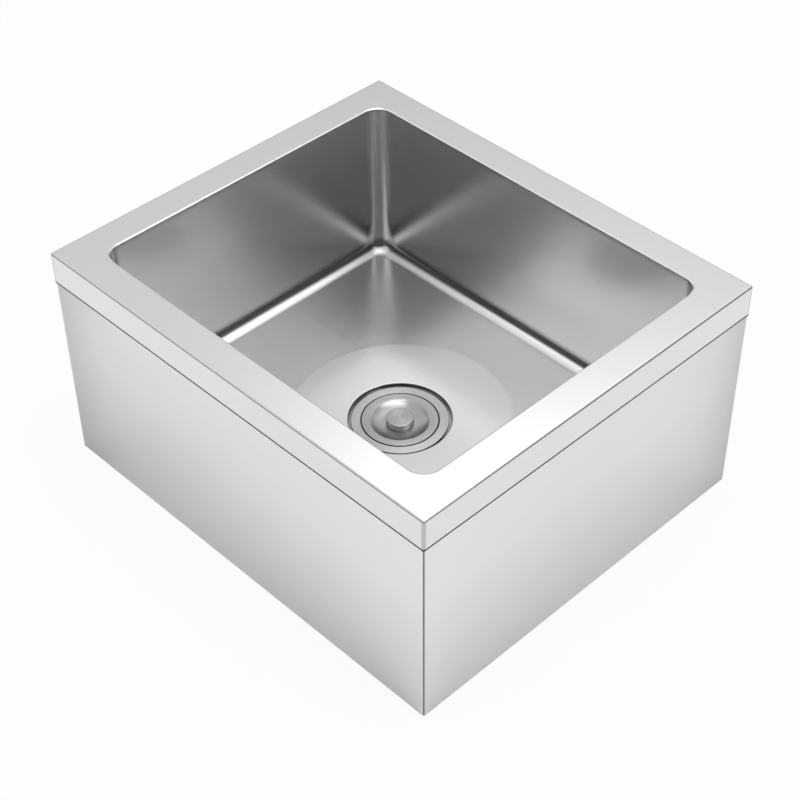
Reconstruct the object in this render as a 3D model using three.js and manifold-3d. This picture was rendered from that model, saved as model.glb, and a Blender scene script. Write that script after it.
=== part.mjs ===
// A stainless mop service sink that stands on the floor: a deck with a folded skirt, a deep bowl
// welded under it, four casing panels with corner posts and support rails inside, and a strainer
// with a lift-out basket and a lift-off cover.
// Millimetres, +Z up, -Y is the front. The origin is on the floor, under the middle of the deck.

import * as THREE from 'three';
import { mergeVertices } from 'three/addons/utils/BufferGeometryUtils.js';
import Module from 'manifold-3d';

const wasm = await Module();
wasm.setup();

// ---------------------------------------------------------------- driving dimensions

// The whole sink
const width = 580;
const depth = 500;
const height = 290;

// Deck and casing
const sheet = 1.2;
const rimWidth = 40;
const skirtDrop = 40;
const deckFold = 2;
const deckCorner = 2.5;
const casingFold = 1.6;
const baseFlange = 20;
const topFlange = 15;
const mitreGap = 0.5;

// Bowl
const bowlSheet = 1.2;
const bowlCorner = 22;
const bowlLip = 10;
const lipFold = 2.4;
const wallDrop = 213;
const floorFillet = 20;
const toeCorner = 16;
const floorFall = 3.4;
const dishRadius = 122;
const dishFall = 3.6;
const recessGap = 3.5; // between the recess and the strainer's flange
const recessDepth = 3.4;
const recessFold = 1;

// Inside the casing
const postLeg = 25;
const postSheet = 1.5;
const railWidth = 32;
const railSheet = 1.5;
const railPlace = 146;
const railPadWidth = 24;
const railPadLength = 320;
const railPadThickness = 3;
const soundPadHeight = 110;
const soundPadMargin = 75;
const soundPadThickness = 3;
const soundPadCorner = 12;
const soundPadDrop = 95;

// Strainer body
const strainerSheet = 1.2;
const flangeRadius = 57;
const flangeEdge = 0.5;
const mouthRadius = 46;
const ledgeDrop = 4;
const cupRadius = 40;
const cupDepth = 33;
const cupFold = 4;
const outletRadius = 20;
const spigotWall = 3;
const spigotLength = 16;

// Seals and nuts
const flangeGasketThickness = 1;
const underGasketThickness = 2.5;
const sealWidth = 8.5;
const frictionWasherThickness = 1;
const lockNutHeight = 11;
const lockNutWall = 13;
const lockNutLugs = 6;
const lockNutLugLength = 5;
const lockNutLugWidth = 12;
const tailWasherThickness = 1.5;
const tailFlangeThickness = 1.8;
const tailBore = 17.5;
const tailWall = 1.6;
const tailLength = 8;
const slipNutWall = 5.5;
const slipNutLip = 2.2;
const slipNutGrip = 11;
const slipNutFlats = 8;

// Basket
const basketSheet = 0.8;
const basketRimThickness = 1;
const basketDepth = 21;
const basketBottomRadius = 31;
const basketFold = 3;
const basketSlots = 16;
const basketSlotWidth = 2.6;
const basketSlotLength = 10;
const basketHoleRadius = 2.2;
const innerHoleRing = 13;
const innerHoles = 6;
const outerHoleRing = 22.5;
const outerHoles = 12;
const postStem = 2.5;
const postHead = 6;
const postHeadHeight = 4;
const postCollar = 1.5;
const stopperRadius = 25;
const stopperThickness = 3;
const stopperHub = 8;
const stopperCone = 2.1;
const postNutRadius = 5;
const postNutHeight = 3.2;
const postTip = 1;

// Cover
const coverSheet = 1;
const coverGap = 1;
const coverEdge = 2.6;
const coverRingWidth = 10;
const coverDishFall = 4.4;
const coverSeatRadius = 19;
const knobRadius = 16.5;
const knobHeight = 8;
const knobChamfer = 0.8;
const knobWaist = 0.5;
const screwRadius = 1.5;
const screwDepth = 5;
const screwHeadRadius = 3;
const screwHeadHeight = 2.2;
const knobWasherRadius = 6.5;
const knobWasherThickness = 0.8;

// Clearances
const weldGap = 0.05; // between faces that are welded, stuck or clamped together
const threadGap = 0.3; // between a nut and the thread that it turns on
const holeGap = 0.4; // round a piece that passes through a hole
const liftGap = 0.3; // round and under a piece that lifts out
const gripGap = 2; // over the basket's grip, below the cover
const cutterSpare = 1; // that a cutter runs on past each face that it opens

// Roundness of the faceted shapes
const roundSegments = 48;
const smallSegments = 24;
const cornerSteps = 5;
const foldSteps = 3;
const filletSteps = 5;
const smallHoleSides = 6;
const widestRay = THREE.MathUtils.degToRad(7.5);
const nearestRay = 2e-5;

// ---------------------------------------------------------------- shapes

// Where the ray at this angle from the centre meets an outline: a circle, or a rectangle with
// rounded corners.
function meet(outline, ray) {
  const cosine = Math.cos(ray);
  const sine = Math.sin(ray);
  if (outline.radius !== undefined) return [outline.radius * cosine, outline.radius * sine];
  const { halfX, halfY, corner } = outline;
  const yOnSide = Math.abs(sine / cosine) * halfX;
  if (yOnSide <= halfY - corner) return [Math.sign(cosine) * halfX, Math.sign(sine) * yOnSide];
  const xOnEnd = Math.abs(cosine / sine) * halfY;
  if (xOnEnd <= halfX - corner) return [Math.sign(cosine) * xOnEnd, Math.sign(sine) * halfY];
  const centreX = halfX - corner;
  const centreY = halfY - corner;
  const along = Math.abs(cosine) * centreX + Math.abs(sine) * centreY;
  const across = Math.abs(sine) * centreX - Math.abs(cosine) * centreY;
  const reach = along + Math.sqrt(Math.max(0, corner ** 2 - across ** 2));
  return [cosine * reach, sine * reach];
}

// Rays that pass through every step of the outlines' corner arcs, and none too far apart.
function raysThrough(outlines) {
  const marks = [0, Math.PI / 2];
  for (const { halfX, halfY, corner } of outlines) {
    for (let step = 0; step <= cornerSteps; step += 1) {
      const turn = (step / cornerSteps) * (Math.PI / 2);
      const x = halfX - corner + corner * Math.cos(turn);
      const y = halfY - corner + corner * Math.sin(turn);
      marks.push(Math.atan2(y, x));
    }
  }
  marks.sort((a, b) => a - b);
  const apart = marks.filter((ray, i) => i === 0 || ray - marks[i - 1] > nearestRay);
  const quarter = [];
  for (let i = 0; i + 1 < apart.length; i += 1) {
    const parts = Math.ceil((apart[i + 1] - apart[i]) / widestRay);
    for (let part = 0; part < parts; part += 1) {
      quarter.push(apart[i] + ((apart[i + 1] - apart[i]) * part) / parts);
    }
  }
  const mirrored = [Math.PI / 2, ...quarter.slice(1).reverse()].map((ray) => Math.PI - ray);
  const half = [...quarter, ...mirrored];
  return [...half, ...half.map((ray) => ray + Math.PI)];
}

// A solid swept round the Z axis through a closed chain of stations, each an outline at a height.
// The chain runs up the outside and down the inside.
function sweepRound(stations, rays) {
  const positions = [];
  for (const [outline, z] of stations) {
    for (const ray of rays) positions.push(...meet(outline, ray), z);
  }
  const faces = [];
  const count = rays.length;
  stations.forEach((_, i) => {
    const low = i * count;
    const high = ((i + 1) % stations.length) * count;
    for (let j = 0; j < count; j += 1) {
      const next = (j + 1) % count;
      faces.push(low + j, low + next, high + next, low + j, high + next, high + j);
    }
  });
  const geometry = new THREE.BufferGeometry();
  geometry.setAttribute('position', new THREE.Float32BufferAttribute(positions, 3));
  geometry.setIndex(faces);
  geometry.computeVertexNormals();
  return geometry;
}

// A closed profile of [radius, z] points turned about the Z axis. It runs up the outside.
function turned(profile, segments = roundSegments) {
  const points = [...profile, profile[0]].map(([radius, z]) => new THREE.Vector2(radius, z));
  return new THREE.LatheGeometry(points, segments).rotateX(Math.PI / 2);
}

// A plain ring.
function ring(inner, outer, low, high, segments = roundSegments) {
  const profile = [
    [inner, low],
    [outer, low],
    [outer, high],
    [inner, high],
  ];
  return turned(profile, segments);
}

// The points of an arc from one angle to another, in degrees.
function arc(centreA, centreB, radius, from, to, steps = foldSteps) {
  return Array.from({ length: steps + 1 }, (_, step) => {
    const turn = THREE.MathUtils.degToRad(from + ((to - from) * step) / steps);
    return [centreA + radius * Math.cos(turn), centreB + radius * Math.sin(turn)];
  });
}

// A flat outline pushed up along Z.
function pushed(shape, thickness, low = 0) {
  const options = { depth: thickness, bevelEnabled: false, curveSegments: roundSegments / 4 };
  return new THREE.ExtrudeGeometry(shape, options).translate(0, 0, low);
}

// A rectangle with rounded corners, centred.
function roundedRectangle(sizeX, sizeY, corner) {
  const shape = new THREE.Shape();
  const x = sizeX / 2 - corner;
  const y = sizeY / 2 - corner;
  shape.absarc(x, y, corner, 0, Math.PI / 2);
  shape.absarc(-x, y, corner, Math.PI / 2, Math.PI);
  shape.absarc(-x, -y, corner, Math.PI, 1.5 * Math.PI);
  shape.absarc(x, -y, corner, 1.5 * Math.PI, 2 * Math.PI);
  return shape;
}

// A nut's outline: a polygon whose first corner is turned by a share of the angle between corners.
function flatSided(sides, radius, share) {
  const corners = Array.from({ length: sides }, (_, i) => {
    const turn = ((i + share) * 2 * Math.PI) / sides;
    return new THREE.Vector2(radius * Math.cos(turn), radius * Math.sin(turn));
  });
  return new THREE.Shape(corners);
}

// ---------------------------------------------------------------- joining and cutting

function solid(geometry) {
  const bare = new THREE.BufferGeometry();
  bare.setAttribute('position', geometry.getAttribute('position'));
  if (geometry.index) bare.setIndex(geometry.index);
  const merged = mergeVertices(bare, 1e-4);
  const vertProperties = new Float32Array(merged.getAttribute('position').array);
  const triVerts = new Uint32Array(merged.index.array);
  return new wasm.Manifold(new wasm.Mesh({ numProp: 3, vertProperties, triVerts }));
}

function geometryOf(made) {
  const mesh = made.getMesh();
  const geometry = new THREE.BufferGeometry();
  geometry.setAttribute('position', new THREE.BufferAttribute(mesh.vertProperties, 3));
  geometry.setIndex(new THREE.BufferAttribute(mesh.triVerts, 1));
  geometry.computeVertexNormals();
  return geometry;
}

const joined = (first, ...others) =>
  geometryOf(others.reduce((whole, other) => whole.add(solid(other)), solid(first)));

const cut = (body, ...tools) =>
  geometryOf(tools.reduce((whole, tool) => whole.subtract(solid(tool)), solid(body)));

// ---------------------------------------------------------------- finishes

const finish = (color, roughness, metalness) =>
  new THREE.MeshStandardMaterial({ color, roughness, metalness });

const brushedSteel = finish(0xd2d3d3, 0.32, 1);
const satinSteel = finish(0xc9caca, 0.4, 1);
const millSteel = finish(0xb4b6b8, 0.5, 1);
const turnedSteel = finish(0xdcdddd, 0.24, 1);
const blackRubber = finish(0x1d1d1e, 0.85, 0);
const greyButyl = finish(0x55575a, 0.9, 0);
const whitePlastic = finish(0xe6e6e2, 0.5, 0);
const fibre = finish(0x9a8467, 0.9, 0);

const sink = new THREE.Group();
sink.name = 'mop_service_sink';

function place(parent, name, geometry, material) {
  const mesh = new THREE.Mesh(geometry, material);
  mesh.name = name;
  parent.add(mesh);
  return mesh;
}

// ---------------------------------------------------------------- outlines that pieces share

// The deck's edge moved inwards.
const insetDeck = (inset, corner = Math.max(0, deckCorner - inset)) => ({
  halfX: width / 2 - inset,
  halfY: depth / 2 - inset,
  corner,
});

// The opening's edge moved outwards.
const opening = (outset = 0) => ({
  halfX: width / 2 - rimWidth + outset,
  halfY: depth / 2 - rimWidth + outset,
  corner: bowlCorner + outset,
});

// ---------------------------------------------------------------- deck

const deckUnderside = height - sheet;
const skirtBottom = height - skirtDrop;

function rimDeck() {
  const fold = arc(deckFold, height - deckFold, deckFold, 180, 90);
  const inside = insetDeck(sheet, 0);
  const stations = [
    [insetDeck(0), skirtBottom],
    ...fold.map(([inset, z]) => [insetDeck(inset), z]),
    [opening(), height],
    [opening(), deckUnderside],
    [inside, deckUnderside],
    [inside, skirtBottom],
  ];
  return sweepRound(stations, raysThrough([insetDeck(0), inside, opening()]));
}

place(sink, 'rim_deck', rimDeck(), brushedSteel);

// ---------------------------------------------------------------- bowl

const lipTop = deckUnderside - weldGap;
const floorAtWall = height - wallDrop;
const floorAtDish = floorAtWall - floorFall;
const floorAtRecess = floorAtDish - dishFall;
const recessFloor = floorAtRecess - recessDepth;

// The strainer's flange lies in the recess and its step passes through the bowl.
const recessRadius = flangeRadius + recessGap;
const stepOutside = mouthRadius + strainerSheet;
const bowlHole = stepOutside + holeGap;

// The toe of the floor fillet has tighter corners than the walls.
function filletOutline(inset) {
  const tightening = (bowlCorner - toeCorner) / floorFillet;
  return { ...opening(-inset), corner: bowlCorner - inset * tightening };
}

// The upper face of the bowl, from the lip's edge to the drain hole, and the face below it.
function bowlFaces() {
  const lipOutline = opening(bowlLip);
  const fillet = arc(floorFillet, floorAtWall + floorFillet, floorFillet, 180, 270, filletSteps);
  const upper = [
    [lipOutline, lipTop],
    [opening(), lipTop],
    ...fillet.map(([inset, z]) => [filletOutline(inset), z]),
    [{ radius: dishRadius }, floorAtDish],
    [{ radius: recessRadius + recessFold }, floorAtRecess],
    [{ radius: recessRadius }, floorAtRecess - recessFold],
    [{ radius: recessRadius }, recessFloor],
    [{ radius: bowlHole }, recessFloor],
  ];
  const outerFillet = arc(
    floorFillet,
    floorAtWall + floorFillet,
    floorFillet + bowlSheet,
    270,
    180,
    filletSteps,
  );
  const lipUnder = arc(bowlSheet + lipFold, lipTop - bowlSheet - lipFold, lipFold, 180, 90);
  const lower = [
    [{ radius: bowlHole }, recessFloor - bowlSheet],
    [{ radius: recessRadius + bowlSheet }, recessFloor - bowlSheet],
    [{ radius: recessRadius + bowlSheet }, floorAtRecess - bowlSheet - recessFold],
    [{ radius: recessRadius + bowlSheet + recessFold }, floorAtRecess - bowlSheet],
    [{ radius: dishRadius }, floorAtDish - bowlSheet],
    ...outerFillet.map(([inset, z]) => [filletOutline(inset), z]),
    ...lipUnder.map(([outset, z]) => [opening(outset), z]),
    [lipOutline, lipTop - bowlSheet],
  ];
  return { upper, lower };
}

const bowlRays = raysThrough([opening()]);
const bowlSides = bowlFaces();
place(sink, 'bowl', sweepRound([...bowlSides.upper, ...bowlSides.lower], bowlRays), satinSteel);

// The space that the bowl fills from its underside up, let down by a gap: it shapes what lies
// below the bowl.
function spaceUnderBowl(gap) {
  const below = bowlSides.lower.map(([outline, z]) => [outline, z - gap]);
  const inner = [{ radius: bowlHole }, height];
  const outer = [opening(bowlLip), height];
  return sweepRound([...below, outer, inner], bowlRays);
}

// ---------------------------------------------------------------- casing panels

const casingTop = deckUnderside - weldGap;
const casingHalfX = width / 2 - sheet - weldGap;
const casingHalfY = depth / 2 - sheet - weldGap;

// A panel with a flange folded in at the floor and one under the deck. Its outline is drawn with
// the distance behind the outer face along X and the height along Y, and its ends are mitred: each
// point stops short by the distance that it lies behind the face. It is drawn one unit long first.
function casingPanel(halfLength) {
  const outline = new THREE.Shape();
  outline.moveTo(casingFold, 0);
  outline.lineTo(baseFlange, 0);
  outline.lineTo(baseFlange, sheet);
  outline.lineTo(sheet, sheet);
  outline.lineTo(sheet, casingTop - sheet);
  outline.lineTo(topFlange, casingTop - sheet);
  outline.lineTo(topFlange, casingTop);
  outline.absarc(casingFold, casingTop - casingFold, casingFold, Math.PI / 2, Math.PI);
  outline.absarc(casingFold, casingFold, casingFold, Math.PI, 1.5 * Math.PI);
  const options = { depth: 1, bevelEnabled: false, curveSegments: foldSteps };
  const geometry = new THREE.ExtrudeGeometry(outline, options);
  const positions = geometry.getAttribute('position');
  for (let i = 0; i < positions.count; i += 1) {
    const behind = positions.getX(i);
    const side = positions.getZ(i) > 0.5 ? 1 : -1;
    positions.setXYZ(i, side * (halfLength - mitreGap - behind), behind, positions.getY(i));
  }
  geometry.computeVertexNormals();
  return geometry;
}

const casingSides = [
  { name: 'front', half: casingHalfX, x: 0, y: -casingHalfY, turn: 0 },
  { name: 'right', half: casingHalfY, x: casingHalfX, y: 0, turn: Math.PI / 2 },
  { name: 'back', half: casingHalfX, x: 0, y: casingHalfY, turn: Math.PI },
  { name: 'left', half: casingHalfY, x: -casingHalfX, y: 0, turn: -Math.PI / 2 },
];

for (const { name, half, x, y, turn } of casingSides) {
  const panel = place(sink, `casing_${name}`, casingPanel(half), brushedSteel);
  panel.position.set(x, y, 0);
  panel.rotation.z = turn;
}

// ---------------------------------------------------------------- corner posts

// An angle that stands on the panels' base flanges inside a corner and reaches their top flanges.
// It is drawn for the front left corner, with its own corner at the origin.
function cornerPost() {
  const angle = new THREE.Shape();
  angle.moveTo(0, 0);
  angle.lineTo(postLeg, 0);
  angle.lineTo(postLeg, postSheet);
  angle.lineTo(postSheet, postSheet);
  angle.lineTo(postSheet, postLeg);
  angle.lineTo(0, postLeg);
  const low = sheet + weldGap;
  return pushed(angle, casingTop - sheet - weldGap - low, low);
}

const postHalfX = casingHalfX - sheet - weldGap;
const postHalfY = casingHalfY - sheet - weldGap;
const postCorners = [
  { name: 'front_left', x: -postHalfX, y: -postHalfY, turn: 0 },
  { name: 'front_right', x: postHalfX, y: -postHalfY, turn: Math.PI / 2 },
  { name: 'back_right', x: postHalfX, y: postHalfY, turn: Math.PI },
  { name: 'back_left', x: -postHalfX, y: postHalfY, turn: -Math.PI / 2 },
];

for (const { name, x, y, turn } of postCorners) {
  const post = place(sink, `corner_post_${name}`, cornerPost(), millSteel);
  post.position.set(x, y, 0);
  post.rotation.z = turn;
}

// ---------------------------------------------------------------- support rails

const railBottom = sheet + weldGap;
const railTop = floorAtDish - bowlSheet - railPadThickness;

// A channel, open below, that stands on the front and back base flanges.
function supportRail() {
  const half = railWidth / 2;
  const inside = half - railSheet;
  const channel = new THREE.Shape();
  channel.moveTo(-half, railBottom);
  channel.lineTo(-inside, railBottom);
  channel.lineTo(-inside, railTop - railSheet);
  channel.lineTo(inside, railTop - railSheet);
  channel.lineTo(inside, railBottom);
  channel.lineTo(half, railBottom);
  channel.lineTo(half, railTop);
  channel.lineTo(-half, railTop);
  const length = 2 * (casingHalfY - sheet - weldGap);
  return pushed(channel, length, -length / 2).rotateX(Math.PI / 2);
}

// A rubber strip on the rail, shaped by the underside of the bowl.
function railPad(x) {
  const bottom = railTop + weldGap;
  const tall = floorAtWall - bottom;
  const strip = new THREE.BoxGeometry(railPadWidth, railPadLength, tall);
  return cut(strip.translate(x, 0, bottom + tall / 2), spaceUnderBowl(liftGap));
}

for (const [name, x] of [['left', -railPlace], ['right', railPlace]]) {
  const rail = place(sink, `support_rail_${name}`, supportRail(), millSteel);
  rail.position.x = x;
  place(sink, `rail_pad_${name}`, railPad(x), blackRubber);
}

// ---------------------------------------------------------------- sound pads

// A damping pad stuck to the outside of a bowl wall, drawn lying down and then stood up.
function soundPad(wallLength) {
  const shape = roundedRectangle(wallLength - 2 * soundPadMargin, soundPadHeight, soundPadCorner);
  return new THREE.ExtrudeGeometry(shape, {
    depth: soundPadThickness,
    bevelEnabled: false,
    curveSegments: foldSteps,
  }).rotateX(Math.PI / 2);
}

const padFace = opening(bowlSheet + weldGap);
const padHeight = height - soundPadDrop - soundPadHeight / 2;
const padSides = [
  { name: 'front', wall: 2 * padFace.halfX, x: 0, y: -padFace.halfY, turn: 0 },
  { name: 'right', wall: 2 * padFace.halfY, x: padFace.halfX, y: 0, turn: Math.PI / 2 },
  { name: 'back', wall: 2 * padFace.halfX, x: 0, y: padFace.halfY, turn: Math.PI },
  { name: 'left', wall: 2 * padFace.halfY, x: -padFace.halfX, y: 0, turn: -Math.PI / 2 },
];

for (const { name, wall, x, y, turn } of padSides) {
  const pad = place(sink, `sound_pad_${name}`, soundPad(wall), greyButyl);
  pad.position.set(x, y, padHeight);
  pad.rotation.z = turn;
}

// ---------------------------------------------------------------- strainer body and seals

// The drain's own group: its zero height is the upper face of the bowl's recess.
const drain = new THREE.Group();
drain.name = 'drain';
drain.position.z = recessFloor;
sink.add(drain);

const flangeUnderside = flangeGasketThickness + 2 * weldGap;
const flangeTop = flangeUnderside + strainerSheet;
const ledge = flangeTop - ledgeDrop;
const cupFloor = ledge - cupDepth;
const cupOutside = cupRadius + strainerSheet;
const spigotOutside = outletRadius + spigotWall;
const spigotEnd = cupFloor - strainerSheet - spigotLength;

function strainerBody() {
  const innerFold = arc(cupRadius - cupFold, cupFloor + cupFold, cupFold, 0, -90);
  const outerFold = arc(cupRadius - cupFold, cupFloor + cupFold, cupFold + strainerSheet, -90, 0);
  return turned([
    [flangeRadius, flangeUnderside],
    [flangeRadius, flangeTop - flangeEdge],
    [flangeRadius - flangeEdge, flangeTop],
    [mouthRadius, flangeTop],
    [mouthRadius, ledge],
    [cupRadius, ledge],
    ...innerFold,
    [outletRadius, cupFloor],
    [outletRadius, spigotEnd],
    [spigotOutside, spigotEnd],
    [spigotOutside, cupFloor - strainerSheet],
    ...outerFold,
    [cupOutside, ledge - strainerSheet],
    [stepOutside, ledge - strainerSheet],
    [stepOutside, flangeUnderside],
  ]);
}

place(drain, 'strainer_body', strainerBody(), turnedSteel);

const sealBore = stepOutside + threadGap;
const sealRim = sealBore + sealWidth;
const flangeGasket = ring(sealBore, sealRim, weldGap, weldGap + flangeGasketThickness);
place(drain, 'flange_gasket', flangeGasket, blackRubber);

const underGasketTop = -bowlSheet - weldGap;
const frictionTop = underGasketTop - underGasketThickness - weldGap;
const lockNutTop = frictionTop - frictionWasherThickness - weldGap;
const underGasket = ring(sealBore, sealRim, underGasketTop - underGasketThickness, underGasketTop);
place(drain, 'under_gasket', underGasket, blackRubber);
const frictionWasher = ring(sealBore, sealRim, frictionTop - frictionWasherThickness, frictionTop);
place(drain, 'friction_washer', frictionWasher, fibre);

// The ring nut turns on the cup and has lugs for a wrench.
function lockNut() {
  const bore = cupOutside + threadGap;
  const rimRadius = bore + lockNutWall;
  const low = lockNutTop - lockNutHeight;
  const lugs = Array.from({ length: lockNutLugs }, (_, i) =>
    new THREE.BoxGeometry(lockNutWall / 2 + lockNutLugLength, lockNutLugWidth, lockNutHeight)
      .translate(rimRadius + lockNutLugLength / 2 - lockNutWall / 4, 0, low + lockNutHeight / 2)
      .rotateZ((i * 2 * Math.PI) / lockNutLugs),
  );
  return joined(ring(bore, rimRadius, low, lockNutTop), ...lugs);
}

place(drain, 'lock_nut', lockNut(), whitePlastic);

// ---------------------------------------------------------------- outlet stub

const tailWasherTop = spigotEnd - weldGap;
const tailTop = tailWasherTop - tailWasherThickness - weldGap;
const tailOutside = tailBore + tailWall;
const tailFlangeUnderside = tailTop - tailFlangeThickness;
place(
  drain,
  'tail_washer',
  ring(tailBore, spigotOutside - weldGap, tailWasherTop - tailWasherThickness, tailWasherTop),
  blackRubber,
);

const tailpiece = turned([
  [tailBore, tailFlangeUnderside - tailLength],
  [tailOutside, tailFlangeUnderside - tailLength],
  [tailOutside, tailFlangeUnderside],
  [spigotOutside - weldGap, tailFlangeUnderside],
  [spigotOutside - weldGap, tailTop],
  [tailBore, tailTop],
]);
place(drain, 'tailpiece', tailpiece, whitePlastic);

// The slip nut turns on the spigot, and its lip pulls the tailpiece's flange up.
function slipNut() {
  const outside = spigotOutside + threadGap + slipNutWall;
  const lipTopZ = tailFlangeUnderside - weldGap;
  const gripTop = spigotEnd + slipNutGrip;
  const reach = outside / Math.cos(Math.PI / slipNutFlats);
  const low = lipTopZ - slipNutLip;
  const thread = ring(0, spigotOutside + threadGap, lipTopZ, gripTop + cutterSpare);
  const neck = ring(0, tailOutside + threadGap, low - cutterSpare, lipTopZ + cutterSpare);
  return cut(pushed(flatSided(slipNutFlats, reach, 0.5), gripTop - low, low), thread, neck);
}

place(drain, 'slip_nut', slipNut(), whitePlastic);

// ---------------------------------------------------------------- basket

const basketRimLow = ledge + liftGap;
const basketRimTop = basketRimLow + basketRimThickness;
const basketRimRadius = mouthRadius - 2 * liftGap;
const basketTopRadius = cupRadius - 2 * liftGap - basketSheet;
const basketFloor = basketRimTop - basketDepth;
const basketUnderside = basketFloor - basketSheet;

// The cover rests on the basket's rim, and the knob's screw hangs below the cover's dish.
const coverLow = basketRimTop + liftGap;
const coverTop = coverLow + coverEdge;
const coverSeat = coverTop - coverDishFall;
const washerTop = coverSeat - coverSheet - weldGap;
const washerLow = washerTop - knobWasherThickness;
const headTop = washerLow - weldGap;
const headLow = headTop - screwHeadHeight;

// The basket's wall narrows evenly from the rim to the bottom's fold.
const foldTop = basketFloor + basketFold;
const basketLean = (basketTopRadius - basketBottomRadius) / (basketRimTop - foldTop);

function basket() {
  const foldCentre = basketBottomRadius - basketFold;
  const inside = arc(foldCentre, foldTop, basketFold, 0, -90);
  const outside = arc(foldCentre, foldTop, basketFold + basketSheet, -90, 0);
  const shell = turned([
    [basketRimRadius, basketRimLow],
    [basketRimRadius, basketRimTop],
    [basketTopRadius, basketRimTop],
    ...inside,
    [postStem + liftGap, basketFloor],
    [postStem + liftGap, basketUnderside],
    ...outside,
    [basketTopRadius + basketSheet, basketRimLow],
  ]);
  const drillLength = 2 * (basketSheet + cutterSpare);
  const drill = new THREE.CylinderGeometry(
    basketHoleRadius,
    basketHoleRadius,
    drillLength,
    smallHoleSides,
  );
  drill.rotateX(Math.PI / 2).translate(0, 0, basketFloor);
  const holeRing = (radius, count) =>
    Array.from({ length: count }, (_, i) =>
      drill.clone().translate(radius, 0, 0).rotateZ(((i + 0.5) * 2 * Math.PI) / count),
    );
  const holes = [...holeRing(innerHoleRing, innerHoles), ...holeRing(outerHoleRing, outerHoles)];
  const slotHeight = (foldTop + basketRimLow) / 2;
  const slotPlace = basketBottomRadius + basketLean * (slotHeight - foldTop);
  const slotReach = (basketLean * basketSlotLength) / 2 + basketSheet + cutterSpare;
  const slotShape = roundedRectangle(basketSlotWidth, basketSlotLength, basketSlotWidth / 2);
  const slot = new THREE.ExtrudeGeometry(slotShape, {
    depth: 2 * slotReach,
    bevelEnabled: false,
    curveSegments: 1,
  });
  slot.translate(0, 0, -slotReach).rotateX(Math.PI / 2).rotateZ(Math.PI / 2);
  const slots = Array.from({ length: basketSlots }, (_, i) =>
    slot
      .clone()
      .translate(slotPlace, 0, slotHeight)
      .rotateZ(((i + 0.5) * 2 * Math.PI) / basketSlots),
  );
  return cut(shell, ...holes, ...slots);
}

place(drain, 'basket', basket(), turnedSteel);

// The stopper closes the outlet from inside the cup, and the post holds it to the basket.
const stopperLow = cupFloor + liftGap;
const stopperTop = basketUnderside - weldGap;
const postBore = postStem + liftGap;
const stopperSeal = turned([
  [postBore, stopperLow],
  [stopperRadius, stopperLow],
  [stopperRadius, stopperLow + stopperThickness],
  [stopperHub, stopperLow + stopperThickness + stopperCone],
  [stopperHub, stopperTop],
  [postBore, stopperTop],
]);
place(drain, 'stopper_seal', stopperSeal, blackRubber);

const postNutTop = stopperLow - weldGap;
const postNutLow = postNutTop - postNutHeight;
const postTop = headLow - gripGap;
const postNeck = postTop - postHeadHeight;
const basketPostProfile = [
  [0, postNutLow - postTip],
  [postStem, postNutLow - postTip],
  [postStem, basketFloor + weldGap],
  [postHead, basketFloor + weldGap],
  [postHead, basketFloor + postCollar],
  [postStem, basketFloor + postCollar],
  [postStem, postNeck],
  [postHead, postNeck],
  [postHead, postTop - flangeEdge],
  [postHead - flangeEdge, postTop],
  [0, postTop],
];
place(drain, 'basket_post', turned(basketPostProfile, smallSegments), turnedSteel);

function postNut() {
  const hexagon = flatSided(6, postNutRadius, 0);
  const bore = new THREE.Path();
  bore.absarc(0, 0, postBore, 0, 2 * Math.PI, true);
  hexagon.holes.push(bore);
  return pushed(hexagon, postNutHeight, postNutLow);
}

place(drain, 'post_nut', postNut(), turnedSteel);

// ---------------------------------------------------------------- cover

const coverRadius = mouthRadius - coverGap;
const coverDishRadius = coverRadius - coverRingWidth;

// A flat ring with its edge folded down and a dish in the middle, where the knob sits.
function coverPlate() {
  const across = coverDishRadius - coverSeatRadius;
  const bend = (across ** 2 + coverDishFall ** 2) / (2 * coverDishFall);
  const lean = THREE.MathUtils.radToDeg(Math.asin(across / bend));
  const centre = coverSeat + bend;
  const dish = arc(coverSeatRadius, centre, bend, lean - 90, -90);
  const below = arc(coverSeatRadius, centre, bend + coverSheet, -90, lean - 90);
  const bore = screwRadius + threadGap;
  return turned([
    [coverRadius, coverLow],
    [coverRadius, coverTop - flangeEdge],
    [coverRadius - flangeEdge, coverTop],
    ...dish,
    [bore, coverSeat],
    [bore, coverSeat - coverSheet],
    ...below,
    [coverDishRadius + coverSheet, coverTop - coverSheet],
    [coverRadius - coverSheet, coverTop - coverSheet],
    [coverRadius - coverSheet, coverLow],
  ]);
}

place(drain, 'cover_plate', coverPlate(), turnedSteel);

const knobLow = coverSeat + weldGap;
const knobTop = knobLow + knobHeight;
const knobBore = screwRadius + threadGap;
const coverKnob = turned([
  [knobBore, knobLow],
  [knobRadius - knobWaist, knobLow],
  [knobRadius, knobLow + knobHeight / 2],
  [knobRadius, knobTop - knobChamfer],
  [knobRadius - knobChamfer, knobTop],
  [0, knobTop],
  [0, knobLow + screwDepth + weldGap],
  [knobBore, knobLow + screwDepth + weldGap],
]);
place(drain, 'cover_knob', coverKnob, turnedSteel);

const knobWasher = ring(knobBore, knobWasherRadius, washerLow, washerTop, smallSegments);
place(drain, 'knob_washer', knobWasher, blackRubber);

const knobScrewProfile = [
  [0, headLow],
  [screwHeadRadius, headLow],
  [screwHeadRadius, headTop],
  [screwRadius, headTop],
  [screwRadius, knobLow + screwDepth],
  [0, knobLow + screwDepth],
];
place(drain, 'knob_screw', turned(knobScrewProfile, smallSegments), turnedSteel);

export default sink;
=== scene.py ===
"""A stainless mop service sink, dressed for the camera.

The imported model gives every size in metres: +X runs along the longer side, +Y to the back and +Z up.
The sheet metal, the strainer and its cover are modelled again with real folds and fine curves. The
posts, rails and pads inside the casing keep their shape and get softened edges.
"""

import math

import bmesh
import bpy
from mathutils import Matrix, Vector


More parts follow.
